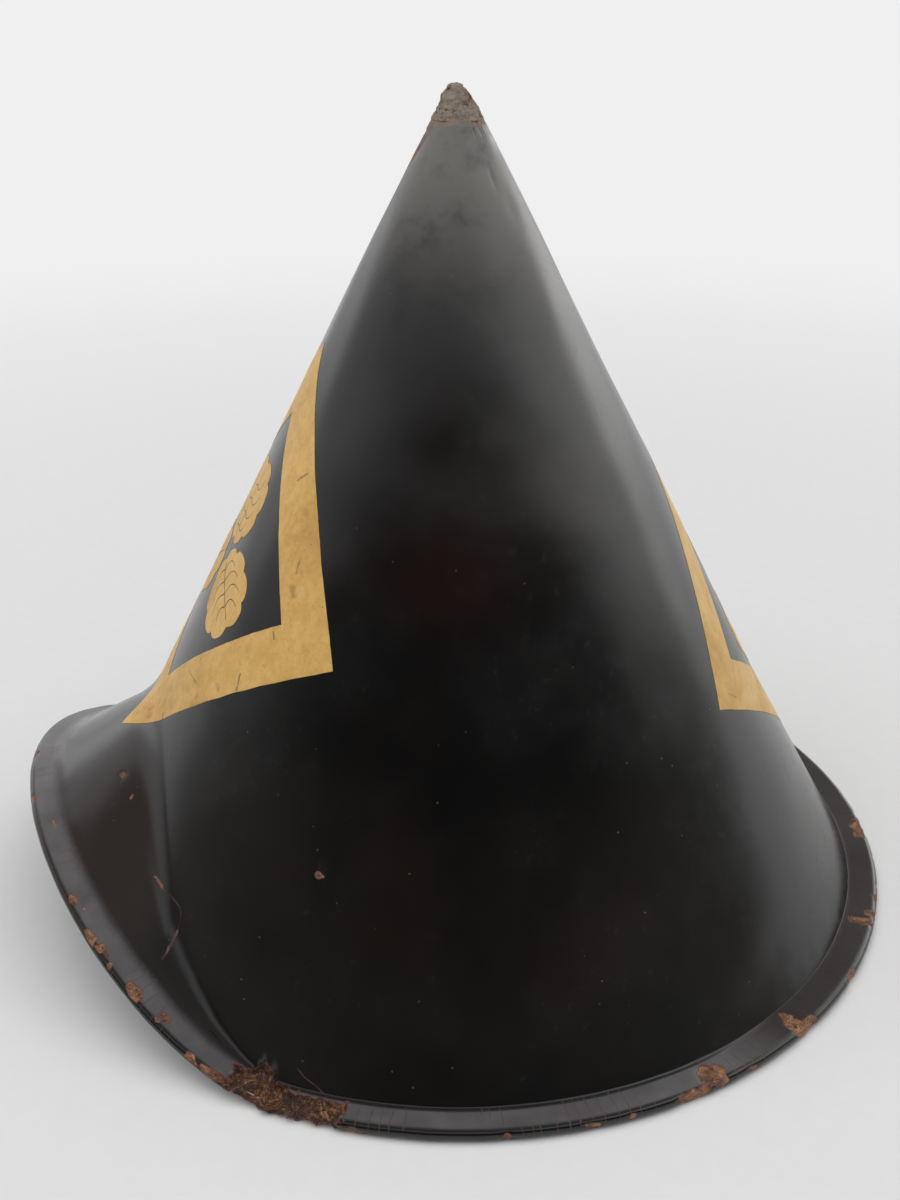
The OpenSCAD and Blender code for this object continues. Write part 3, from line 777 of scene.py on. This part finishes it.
# The crack that runs down from the crease: fine stretches and flaked ones
FOOT_CRACK = (
    runs([(30.2, 310.0), (32.4, 310.7), (34.4, 311.8), (35.2, 313.4), (35.5, 315.4),
          (35.6, 317.5), (35.7, 320.0)])
    + runs([(36.0, 328), (36.2, 331)])
    + runs([(58.6, 346.6), (59.6, 348.8), (61.2, 350.6), (62.2, 352.4)]))
FOOT_FLAKES = (runs([(28.3, 308.1), (29.3, 308.8), (30.1, 309.9)])
               + runs([(35.7, 319.5), (35.8, 323.5), (36.0, 328.0)]))


def marks_at(*marks):
    """Ends on the skin and width in metres of each mark in the gold paint."""
    return [(on_skin(*start), on_skin(*end), width) for start, end, width in marks]


# Scratches and stains in the gold paint: two places (angle, distance) and a width in metres
FRONT_MARKS = marks_at(
    ((24.6, 154.6), (28.2, 150.6), 0.0007), ((36.0, 180.5), (36.1, 185.0), 0.0007),
    ((36.4, 190.4), (37.6, 192.6), 0.0022), ((29.4, 226.7), (30.0, 232.5), 0.0008),
    ((23.8, 235.4), (24.4, 236.2), 0.0020), ((11.2, 240.3), (16.4, 240.9), 0.0006),
    ((35.0, 207.4), (35.8, 209.6), 0.0007), ((8.2, 262.4), (9.4, 265.0), 0.0010),
    ((-30.0, 170.0), (-33.0, 175.0), 0.0007), ((-25.0, 236.0), (-26.0, 241.0), 0.0008))
REAR_MARKS = marks_at(
    ((141.0, 247.0), (143.5, 251.0), 0.0006), ((152.0, 219.0), (153.5, 214.0), 0.0007),
    ((178.0, 165.0), (182.0, 168.0), 0.0007), ((-150.0, 262.0), (-147.0, 265.0), 0.0009),
    ((-158.0, 198.0), (-159.0, 204.0), 0.0006))


# ---------------------------------------------------------------- the lacquered skin

# Where the lip is rubbed glossy and painted pale grey as a painted reflection: angles at which
# that sets in and dies out
RUBBED_SHEEN_IN, RUBBED_SHEEN_OUT = (-112, -96), (106, 122)
DULL_FOOT = 1.8             # how far the dull rest of the lip climbs the wall's foot, in mm
GREYED, SCUFFED_AND_SHEEN = (262, 300), (228, 294)        # heights over which the core greys, and over which the lacquer is scuffed rougher and painted greyer as a painted sheen


def build_skin():
    """Crown, visor, lip and bound edge under one lacquer, closed with the wall's inner side."""
    angles, wide, w, z = surface.a, surface.wide, surface.w, surface.z
    inner_rows = [LIP_ROW, *range(LIP_ROW - 4, CREASE_ROW, -5), *range(CREASE_ROW, 6, -6), 0]
    inner = surface.true[:, inner_rows] - surface.normal[:, inner_rows] * SKIN_BACK_T * MM
    step = placed(angles, rim_r(angles) - UNDER_W, lift(angles) + FLANGE_LOW)[:, None]
    points = np.concatenate([surface.points, step, inner], 1)
    columns, rows = points.shape[:2]

    past_lip = w - w[:, LIP_ROW:LIP_ROW + 1]
    soft = 0.6 + 2.6 * (1 - smooth(np.abs(wide), 45, 57))      # wider on the visor
    # 1 over the lip's front half, which is rubbed glossy and painted pale grey there as a painted
    # reflection
    rubbed = smooth(wide, *RUBBED_SHEEN_IN) * (1 - smooth(wide, *RUBBED_SHEEN_OUT))
    inwards = past_lip - DULL_FOOT * (1 - rubbed)
    down_the_visor = smooth(np.arange(z.shape[1]) + 0 * z, CREASE_ROW + 2, CREASE_ROW + 9)
    shares = {
        "chip": surface.chip,
        "lip": smooth(w, 2.6, 3.8) * (1 - smooth(inwards / soft, -1.0, 0.6)),
        "hair": (1 - smooth(past_lip, -0.5, 1.5)) * smooth(w, -4, -1),
        "visor": down_the_visor * smooth(arch(wide), 0.5, 10),
        "rubbed": rubbed,
        "torn": torn_part(wide, w, 1.5, 26),
        "by_tip": smooth(z, *GREYED),
        "scuffed": smooth(z, *SCUFFED_AND_SHEEN) ** 1.2,
        "arc": wide * RADIANS * RIM_R * MM}
    hidden = np.zeros((columns, rows - z.shape[1]))      # none of it on the inner side
    skin = mesh_object("lacquered_skin", points,
                       grid_faces(columns, rows, down=True),
                       {key: np.concatenate([share, hidden - (key == "chip")], 1)
                        for key, share in shares.items()})
    closed_normals(skin)
    finished(skin, lacquer_material(), "lacquer", "crown_shell", "visor", "rim_binding")


def build_lining():
    """Lacquered cloth over the whole inner side, closed across the top."""
    angles = np.arange(-180, 180, 1.5)
    r, z = skin_sections(angles)
    true = placed(angles[:, None] + 0 * r, r, z)
    normal = Surface.normals(true)
    rows = [LIP_ROW - 1, *range(LIP_ROW - 6, CREASE_ROW, -4), *range(CREASE_ROW, 8, -3)]
    deep = np.interp(rows, [CREASE_ROW - 12, CREASE_ROW + 8, LIP_ROW - 8, LIP_ROW],
                     [LINING_IN_WALL, LINING_IN_VISOR, LINING_IN_VISOR, LINING_IN_LIP])
    under_r = rim_r(angles) - UNDER_W - 0.3

    def side(depth, under_z):
        under = [placed(angles, mix(under_r, r[:, LIP_ROW], t), lift(angles) + under_z)[:, None]
                 for t in (0, 0.5, 0.9)]
        sheet = true[:, rows] - normal[:, rows] * depth[None, :, None] * MM
        return np.concatenate(under + [sheet], 1)

    face = side(deep, FLANGE_LOW - LINING_T - 0.1)
    back = side(deep - LINING_T * 0.85, FLANGE_LOW - 0.1)
    keep = face[:, :, 2].max(0) < (LINING_TOP - 2) * MM
    closing = [placed(angles, room_radius(LINING_TOP) * part,
                      LINING_TOP - 0.4 * (1 - part))[:, None] for part in (1, 0.8, 0.5, 0.15)]
    face = np.concatenate([face[:, keep]] + closing, 1)
    wrinkle = 0.16 * lattice_noise(face / MM, 22, 31) + 0.07 * lattice_noise(face / MM, 7, 32)
    face = face - outward(angles)[:, None] * wrinkle[..., None]
    points = np.concatenate([face, back[:, keep][:, ::-1]], 1)
    (columns, down), count = face.shape[:2], points.shape[1]
    # the face's last ring and the back's first are closed by flat tops, not joined
    faces = [quad for n, quad in enumerate(grid_faces(columns, count, down=True))
             if n % count != down - 1]
    faces += [tuple(k * count + row for k in range(columns)) for row in (down - 1, down)]
    arc = np.broadcast_to(angles[:, None] * RADIANS * 0.12, points.shape[:2])
    path = np.concatenate([[0], np.cumsum(np.linalg.norm(np.diff(points[0], axis=0), axis=1))])
    lining = mesh_object("cloth_lining", points, faces, {
        "arc": arc, "path": np.broadcast_to(path[None], points.shape[:2])})
    closed_normals(lining)
    finished(lining, lining_material(), "red_lacquer", "crown_lining", "visor_lining")


def build_tip():
    """The bare core that stands out of the worn lacquer at the point."""
    around, up = 112, 46
    top = POINT_H - TIP_WORN - 1.3
    angles = np.arange(around) * 360 / around - 180
    z = np.concatenate([[288, 293, LACQUER_TOP], np.linspace(LACQUER_TOP + 1.1, top - 1.4, up)])
    r = wall_r(z) - 0.35
    r[:3] -= 3.25                 # the rows that stand hidden under the lacquer
    r = r * (1 - 0.24 * smooth(z, top - 5, top))
    z = np.concatenate([z, [top - 0.7, top - 0.25, top]])
    r = np.concatenate([r, r[-1] * np.array([0.90, 0.66, 0.30])])
    points = placed(angles[:, None] + 0 * r, r + 0 * angles[:, None], z[None])
    place = points / MM
    rough = (0.52 * lattice_noise(place, 3.1, 21) + 0.34 * lattice_noise(place, 1.5, 22)
             + 0.20 * lattice_noise(place, 0.75, 23)
             - 0.5 * smooth(lattice_noise(place, 4.2, 24), 0.1, 0.7))
    rough = rough * smooth(z, LACQUER_TOP, LACQUER_TOP + 2)
    points[..., 1] -= 0.9 * smooth(z, 299, top) * MM          # it leans a little to the front
    points = points + outward(angles)[:, None] * rough[..., None]
    points[..., 2] += np.minimum(rough, 0.0) * 0.4 * MM * (z > top - 1)
    rows = len(z)
    faces = grid_faces(around, rows)
    faces += [tuple(k * rows + end for k in range(around)) for end in (0, rows - 1)]
    tip = mesh_object("worn_tip", points, faces)
    closed_normals(tip)
    finished(tip, core_material(), "raw_core", "tip_plug")


# ---------------------------------------------------------------- the painted crests

def inside(points, outline):
    """True for each point that lies in a closed outline."""
    x, y = np.asarray(points, float).T
    found = np.zeros(len(x), bool)
    x2, y2 = outline[-1]
    for x1, y1 in outline:
        if y1 != y2:
            crossed = ((y1 > y) != (y2 > y)) & (x < (x2 - x1) * (y - y1) / (y2 - y1) + x1)
            found ^= crossed
        x2, y2 = x1, y1
    return found


def resampled(outline, spacing):
    """A closed outline with a point at least every so many millimetres."""
    points = []
    for (x1, y1), (x2, y2) in zip(outline, outline[1:] + outline[:1]):
        n = max(1, int(math.hypot(x2 - x1, y2 - y1) / spacing))
        points += [(mix(x1, x2, k / n), mix(y1, y2, k / n)) for k in range(n)]
    return points


def hand_painted(outline, seed, amount=0.16):
    """A closed outline with the small waver of a brushed edge."""
    p = np.array([(x, y, seed * 7.3) for x, y in outline])
    du = amount * (lattice_noise(p, 5.5, 40 + seed) + 0.5 * lattice_noise(p, 1.7, 50 + seed))
    dv = amount * (lattice_noise(p, 5.5, 60 + seed) + 0.5 * lattice_noise(p, 1.7, 70 + seed))
    return [(x + a, y + b) for (x, y), a, b in zip(outline, du, dv)]


def painted_patch(name, outlines, holes, at, middle, cell=1.6):
    """A thin coat of paint on the skin, inside the outlines and outside the holes. Outlines are
    in millimetres from the crest's middle, with v down the side of the unrolled cone."""
    points, edges = [], []
    for loop in outlines + holes:
        base, n = len(points), len(loop)
        points += loop
        edges += [(base + k, base + (k + 1) % n) for k in range(n)]
    boundary = np.array(points)

    def covered(p):
        return (np.any([inside(p, o) for o in outlines], 0)
                & ~np.any([inside(p, h) for h in holes], 0))

    grid = np.stack(np.meshgrid(*(np.arange(low, high, cell) for low, high in
                                  zip(boundary.min(0), boundary.max(0)))), -1).reshape(-1, 2)
    grid = grid[covered(grid)]
    away = np.hypot(*(grid[:, None] - boundary[None]).transpose(2, 0, 1)).min(1)
    flat = [Vector(p) for p in points + [tuple(p) for p in grid[away > cell * 0.45]]]
    flat, _, triangles, *_ = delaunay_2d_cdt(flat, edges, [], 0, 1e-5)
    centres = [[sum(flat[i][k] for i in face) / len(face) for k in (0, 1)] for face in triangles]
    kept = [tuple(face) for face, good in zip(triangles, covered(centres)) if good]
    used = sorted({i for face in kept for i in face})
    index = {old: new for new, old in enumerate(used)}
    top, bottom = [], []
    for i in used:
        u, v = flat[i]
        a = middle + math.degrees(math.atan2(u, at + v)) / SIN_H
        point, normal = surface.at(a, math.hypot(u, at + v))
        top.append(point + normal * PAINT_UP * MM)
        bottom.append(point - normal * PAINT_IN * MM)
    n = len(used)
    faces = [tuple(index[i] for i in face) for face in kept]
    border = dict.fromkeys(pair for face in faces for pair in zip(face, face[1:] + face[:1]))
    sides = [(b, a, a + n, b + n) for a, b in border if (b, a) not in border]
    faces = faces + [tuple(i + n for i in reversed(face)) for face in faces] + sides
    patch = mesh_object(name, top + bottom, faces)
    closed_normals(patch)
    patch.data.set_sharp_from_angle(angle=math.radians(50))
    return patch


def square(half_diagonal, spacing=1.3):
    return resampled([(0, -half_diagonal), (half_diagonal, 0), (0, half_diagonal),
                      (-half_diagonal, 0)], spacing)


def turned_flat(points, degrees):
    """Leaf places (out from the middle, across) turned about the crest's middle, 0 being up."""
    c, s = math.cos(degrees * RADIANS), math.sin(degrees * RADIANS)
    return [(p * s + q * c, -p * c + q * s) for p, q in points]


def powered(x, power):
    """A number raised to a power with its sign kept, which squares off a sine wave."""
    return np.copysign(np.abs(x) ** power, x)


def leaf_outline():
    """Lobed outline: four lobes on each side, narrower at the foot."""
    t = 2 * math.pi * np.arange(LEAF_POINTS) / LEAF_POINTS
    lobe = 1 - LOBE_DEPTH * (1 - np.abs(np.sin(4 * t))) ** 1.8
    foot = 1 - 0.24 * np.maximum(0, -np.cos(t)) ** 1.6
    out = LEAF_FOOT + LEAF_L / 2 * (1 + powered(np.cos(t), 0.9) * lobe)
    across = LEAF_W / 2 * powered(np.sin(t), 0.82) * lobe * foot
    return list(zip(out.tolist(), across.tolist()))


def ribbon(path, widths):
    """Outline of a thin strip along a path of flat points."""
    left, right = [], []
    for k, (x, y) in enumerate(path):
        x0, y0 = path[max(0, k - 1)]
        x1, y1 = path[min(len(path) - 1, k + 1)]
        half = widths[k] / 2 / math.hypot(x1 - x0, y1 - y0)
        left.append((x - (y1 - y0) * half, y + (x1 - x0) * half))
        right.append((x + (y1 - y0) * half, y - (x1 - x0) * half))
    return left + right[::-1]


def leaf_veins():
    """A midrib and side veins that arch outwards and curl back towards the leaf's tip."""
    start, end = LEAF_FOOT + 0.10 * LEAF_L, LEAF_FOOT + 0.86 * LEAF_L
    veins = [ribbon([(mix(start, end, k / 12), 0.25 * math.sin(k * 0.5)) for k in range(13)],
                    [mix(0.62, 0.34, k / 12) for k in range(13)])]
    for j, reach in enumerate((0.50, 0.62, 0.60, 0.44)):
        root = LEAF_FOOT + LEAF_L * (0.20 + 0.165 * j)
        for side in (-1, 1):
            path = []
            for k in range(9):
                t = k / 8
                along = root + 4.6 * t ** 2.2 - 1.5 * math.sin(math.pi * min(1, t * 1.25))
                path.append((along, side * (0.15 + LEAF_W / 2 * reach * math.sin(t * 1.45))))
            veins.append(ribbon(path, [mix(0.58, 0.24, k / 8) for k in range(9)]))
    return veins


def build_crest(place, at, middle, marks):
    gold = gold_material(f"{place}_gold_paint", marks)
    outer = hand_painted(square(CREST_SIDE / math.sqrt(2)), 1)
    opening = hand_painted(square((CREST_SIDE - 2 * CREST_BAND) / math.sqrt(2)), 2)
    band = painted_patch(f"{place}_crest_band", [outer], [opening], at, middle)
    finished(band, gold, "gold_paint", f"{place}_crest_frame")
    outlines, holes = [], []
    for k, turn in enumerate((0, 119, -119)):
        outlines.append(hand_painted(turned_flat(leaf_outline(), turn), 3 + k))
        holes += [turned_flat(vein, turn) for vein in leaf_veins()]
    leaves = painted_patch(f"{place}_crest_lobed_leaves", outlines, holes, at, middle, cell=1.4)
    finished(leaves, gold, "gold_paint", f"{place}_crest_leaves")


# ---------------------------------------------------------------- what is inside

def build_sweatband():
    """A padded cloth band with sewn channels, inside the wooden ring."""
    channels, per_channel, section = 40, 9, 30
    low, high = (np.array(corner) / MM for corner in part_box("sweatband"))
    z_mid, half_h = (low[2] + high[2]) / 2, (high[2] - low[2]) / 2
    middle_r, half_t = (high[0] - low[0]) / 2 - BAND_T / 2, BAND_T / 2

    def puff(a):
        """0 at a seam between channels, 1 between seams."""
        return np.abs(np.sin(a * RADIANS / 2 * channels)) ** 0.55

    columns = channels * per_channel
    a = 360 * np.arange(columns)[:, None] / columns
    t = 2 * math.pi * np.arange(section) / section
    across = powered(np.cos(t), 0.55)
    r = middle_r + half_t * across * np.where(across < 0, mix(0.62, 1.0, puff(a)), 1)
    z = z_mid + half_h * powered(np.sin(t), 0.72) * mix(0.985, 1.0, puff(a))
    band = mesh_object("padded_sweatband", placed(a, r, z),
                       grid_faces(columns, section, down=True))
    closed_normals(band)
    finished(band, cloth_material("hemp_cloth", (0.30, 0.235, 0.15), (0.52, 0.43, 0.30), 0.0011),
             "hemp_cloth", "sweatband")

    per_row = channels * 3
    along = np.linspace(0, 1, 5)
    sewn = []
    for z in (z_mid + half_h * 0.62, z_mid - half_h * 0.62):
        for k in range(per_row):
            a = 360 * (k + mix(0.18, 0.78, along)) / per_row
            r = middle_r - half_t * mix(0.62, 1, puff(a)) * 0.93 - 0.22 * np.sin(np.pi * along)
            sewn.append(thread_run(placed(a, r, z), 0.00026))
    stitches = mesh_object("sweatband_stitches", *joined(sewn))
    finished(stitches, thread_material("waxed_thread", (0.10, 0.055, 0.03), (0.20, 0.12, 0.07)),
             "hemp_cloth")


def swelled(obj, voxel, pressure, cap, frames=20):
    """Runs a cloth swelling on a piece and applies it, with no point moving further than cap."""
    remesh = obj.modifiers.new("even", "REMESH")
    remesh.mode = "VOXEL"
    remesh.voxel_size = voxel
    before = applied(obj)
    cloth = obj.modifiers.new("swell", "CLOTH")
    cloth.settings.use_pressure = True
    cloth.settings.uniform_pressure_force = pressure
    cloth.settings.effector_weights.gravity = 0
    cloth.point_cache.frame_start, cloth.point_cache.frame_end = 1, frames
    for number in range(1, frames + 1):
        bpy.context.scene.frame_set(number)
    moved = applied(obj) - before
    bpy.context.scene.frame_set(1)
    length = np.linalg.norm(moved, axis=1, keepdims=True)
    capped = before + moved * np.minimum(1, cap / np.maximum(length, 1e-9))
    obj.data.vertices.foreach_set("co", capped.ravel())


def applied(obj):
    """Turns a piece's modifiers into its mesh, and gives that mesh's points."""
    depsgraph = bpy.context.evaluated_depsgraph_get()
    mesh = bpy.data.meshes.new_from_object(obj.evaluated_get(depsgraph))
    obj.modifiers.clear()
    old = obj.data
    obj.data = mesh
    bpy.data.meshes.remove(old)
    return np.array([v.co[:] for v in mesh.vertices])


def cushion_blank(middle_z, edge_r, around=72, rings=14):
    """The flat round pad that the cushion swells from: two discs joined at their edges."""
    part = np.arange(rings)[:, None] / (rings - 1)
    a = 2 * math.pi * np.arange(around) / around
    half = 0.0028 + 0.0035 * (1 - part ** 3.2) ** 0.6
    discs = [np.stack([(edge_r - 0.004) * part * np.cos(a),
                       (edge_r - 0.004) * part * np.sin(a) - RIM_BACK * MM,
                       middle_z + side * half + 0 * a], -1) for side in (1, -1)]
    shell = rings * around
    faces = [(p, s, r, q) for p, q, r, s in grid_faces(rings, around, around=False, down=True)]
    faces += [tuple(shell + i for i in face[::-1]) for face in faces]
    edge = list(range(shell - around, shell))
    faces += [(p, q, shell + q, shell + p) for p, q in zip(edge, edge[1:] + edge[:1])]
    cushion = mesh_object("head_cushion", discs, faces)
    closed_normals(cushion, merge=1e-6)
    return cushion


def build_cushion():
    """The pad over the wearer's head: swelled, then drawn in along its sewn channels."""
    low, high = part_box("crown_cushion")
    z_low, z_high = low[2], high[2]
    middle_z = (z_low + z_high) / 2
    edge_r = (high[0] - low[0]) / 2
    cushion = cushion_blank(middle_z, edge_r)
    swelled(cushion, voxel=0.0045, pressure=4, cap=0.006)
    cushion.modifiers.new("fine", "SUBSURF").levels = 1
    co = applied(cushion)

    spokes, ring_r, seam_w = 8, 0.046, 0.0030
    x, y = co[:, 0], co[:, 1] + RIM_BACK * MM
    r, a = np.hypot(x, y), np.arctan2(y, x)
    nearest = np.abs((a / (2 * math.pi) * spokes + 0.5) % 1 - 0.5) * 2 * math.pi / spokes * r
    channel = np.exp(-(nearest / seam_w) ** 2) * smooth(r, 0.006, 0.02)
    ring = np.exp(-((r - ring_r) / seam_w) ** 2)
    seams = 0.30 * np.maximum(channel, ring) * (1 - smooth(r, 0.082, 0.092))
    tuft = 0.5 * np.exp(-(r / 0.011) ** 2)
    up = (co[:, 2] - middle_z) * (1 - np.clip(seams + tuft, 0, 0.55))
    co[:, 2] = middle_z + up
    fold = 0.0005 * lattice_noise(co / MM, 16, 81) + 0.0002 * lattice_noise(co / MM, 5, 82)
    z = np.clip(co[:, 2] + fold * np.sign(up), z_low + 0.0001, z_high - 0.0001)
    over_band = smooth(r, 0.088, 0.0905) * (z < middle_z)
    z = np.maximum(z, mix(z, z_low + 0.0015, over_band))
    limit = np.minimum(edge_r - 0.0002, room_radius(z / MM) * MM - 0.0003)
    shrink = np.minimum(1, limit / np.maximum(r, 1e-9))
    co = np.stack([x * shrink, y * shrink - RIM_BACK * MM, z], -1)
    cushion.data.vertices.foreach_set("co", co.ravel())
    cushion.data.shade_smooth()
    cushion.data.update()
    finished(cushion, cloth_material("cushion_cloth", (0.055, 0.068, 0.10), (0.135, 0.155, 0.20),
                                     0.0013, worn=(0.19, 0.185, 0.17)),
             "cushion_cloth", "crown_cushion")


def room_radius(z):
    """Radius inside the lining at a height."""
    return wall_r(z) - LINING_IN_WALL / COS_H


def dress_fittings():
    """Finishes for the solids that show as they are."""
    iron = metal_material("dark_iron", (0.105, 0.098, 0.094), (0.040, 0.034, 0.031),
                          (0.135, 0.052, 0.020), 0.42)
    brass = metal_material("aged_brass", (0.56, 0.37, 0.135), (0.24, 0.145, 0.055),
                           (0.055, 0.060, 0.035), 0.30)
    finishes = {
        "head_ring": wood_material("bent_wood", (0.20, 0.098, 0.042), (0.42, 0.245, 0.115)),
        "rim_hoop": wood_material("split_cane", (0.28, 0.17, 0.07), (0.50, 0.35, 0.17)),
        "ring_brackets": hide_material(), "staple_washers": brass}
    for place in ("front_left", "front_right", "rear_left", "rear_right"):
        finishes |= {f"staple_{place}": iron, f"cord_ring_{place}": brass}
    for node, material in finishes.items():
        coated(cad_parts[node], material)


# ---------------------------------------------------------------- light, floor and camera

def soft_light(name, place, aim, size, power):
    lamp = bpy.data.lights.new(name, "AREA")
    lamp.size = size
    lamp.energy = power
    obj = in_scene(name, lamp)
    obj.location = place
    obj.visible_glossy = False  # polished lacquer shows the room, not the lamps' edges
    obj.rotation_euler = (Vector(aim) - Vector(place)).to_track_quat("-Z", "Y").to_euler()


# The camera: its angles in degrees, its distance and aim in metres, its lens in millimetres
CAMERA_AZIMUTH, CAMERA_ELEVATION, CAMERA_ROLL = 78.18, 24.54, -0.16
CAMERA_DISTANCE, AIM_H, AIM_LEFT = 0.5471, 0.1125, 0.0032
LENS, SENSOR_W = 40.29, 36
BACKDROP = (0.87, 0.87, 0.872)
# The room around the hat: its plain light, and what the lacquer's gloss shows of it
ROOM_LIGHT = (0.42, 0.42, 0.425)
ROOM_LEFT, ROOM_RIGHT = (0.78, 0.785, 0.80), (1.62, 1.61, 1.59)
NEAR_FLOOR, NEAR_DARK = (0.17, 0.165, 0.155), (0.030, 0.028, 0.026)
CEILING = (0.12, 0.105, 0.095)
BESIDE = (2.2, 2.2, 2.2)        # how much brighter it is low down beside the hat


def from_camera_side(turn, elevation, distance=1.0):
    """A place seen from the hat at so many degrees to the right of the camera's side."""
    a, e = (CAMERA_AZIMUTH + turn) * RADIANS, elevation * RADIANS
    return Vector((math.sin(a) * math.cos(e), -math.cos(a) * math.cos(e), math.sin(e))) * distance


def build_stage():
    """A pale floor that fades into the backdrop far from the hat."""
    half, low = 30.0, -0.0004
    floor = mesh_object("pale_floor", [(-half, -half, low), (half, -half, low),
                                       (half, half, low), (-half, half, low)], [(0, 1, 2, 3)])
    paint = Paint("pale_paper", Roughness=0.9, Specular_IOR_Level=0.2)
    paint.done(paint.colour(paint.noise(0.004, 3, 0.6), (0.85, 0.85, 0.845), (0.89, 0.89, 0.885)))
    far = paint.from_point((0, 0, 0)).rise(0.2, 1.5)
    seen = paint.add("ShaderNodeLightPath", out="Is Camera Ray").most(
        paint.add("ShaderNodeLightPath", out="Is Glossy Ray"))
    white = paint.add("ShaderNodeEmission", Color=BACKDROP)
    lit = Value(paint, paint.shader.outputs[0])
    both = paint.add("ShaderNodeMixShader", **{"0": far * seen, "1": lit, "2": white})
    paint.put(paint.tree.nodes["Material Output"].inputs["Surface"], both)
    floor.data.materials.append(paint.material)


def build_world():
    """A pale room, with a dark part low down on the side that the camera stands on."""
    world = bpy.data.worlds.new("soft_studio")
    world.use_nodes = True
    bpy.context.scene.world = world
    sky = Nodes(world.node_tree)
    direction = sky.add("ShaderNodeTexCoord", out="Generated")

    def towards(way):
        return sky.vector("DOT_PRODUCT", direction, way)

    behind = towards(from_camera_side(180, 0))
    over = towards(from_camera_side(180, 58))
    right = towards(from_camera_side(90, 0))
    corner = towards(from_camera_side(-85, 55))
    height = towards(Vector((0, 0, 1)))
    bright = sky.colour(right.rise(-0.75, 0.5), ROOM_LEFT, ROOM_RIGHT)
    bright = sky.colour(height.rise(0.0, 0.32) * 0.62 + 0.38, (0.0, 0.0, 0.0), bright)
    beside = (behind * right.size()).rise(0.25, 0.42) * (1 - height.rise(0.25, 0.42))
    bright = sky.colour(beside, bright, BESIDE, "MULTIPLY")
    dark = sky.colour(height.rise(0.14, 0.36), NEAR_FLOOR, NEAR_DARK)
    ceiling = height.rise(0.72, 0.86).most(corner.rise(0.925, 0.975))
    in_gloss = sky.coats(dark, (over.rise(0.07, 0.28), bright), (ceiling * 0.85, CEILING))
    gloss = sky.add("ShaderNodeLightPath", out="Is Glossy Ray")
    camera = sky.add("ShaderNodeLightPath", out="Is Camera Ray")
    background = sky.tree.nodes["Background"]
    sky.put(background.inputs["Color"],
            sky.coats(ROOM_LIGHT, (gloss, in_gloss), (camera, BACKDROP)))
    background.inputs["Strength"].default_value = 1.0


def build_camera():
    azimuth, roll = CAMERA_AZIMUTH * RADIANS, CAMERA_ROLL * RADIANS
    right = Vector((math.cos(azimuth), math.sin(azimuth), 0))
    back = from_camera_side(0, CAMERA_ELEVATION)
    up = back.cross(right)
    aim = Vector((0, -RIM_BACK * MM, AIM_H)) - right * AIM_LEFT
    data = bpy.data.cameras.new("camera")
    data.lens = LENS
    data.sensor_width = SENSOR_W
    data.clip_start = 0.01
    camera = in_scene("camera", data)
    axes = (right * math.cos(roll) + up * math.sin(roll),
            up * math.cos(roll) - right * math.sin(roll), back, aim + back * CAMERA_DISTANCE)
    camera.matrix_world = Matrix([[axis[i] for axis in axes] for i in range(3)] + [[0, 0, 0, 1]])
    bpy.context.scene.camera = camera


build_camera()
build_stage()
build_world()
soft_light("window_right", from_camera_side(72, 60, 2.4), (0, 0, 0.15), size=2.4, power=9)
soft_light("window_left", from_camera_side(-72, 60, 2.4), (0, 0, 0.15), size=2.4, power=19)
soft_light("overhead", from_camera_side(105, 76, 2.7), (0, 0, 0), size=2.6, power=13)
bpy.context.scene.view_settings.view_transform = "Standard"

build_skin()
build_lining()
build_tip()
build_crest("front", FRONT_CREST_AT, 0, FRONT_MARKS)
build_crest("rear", REAR_CREST_AT, 180, REAR_MARKS)
build_sweatband()
build_cushion()
dress_fittings()
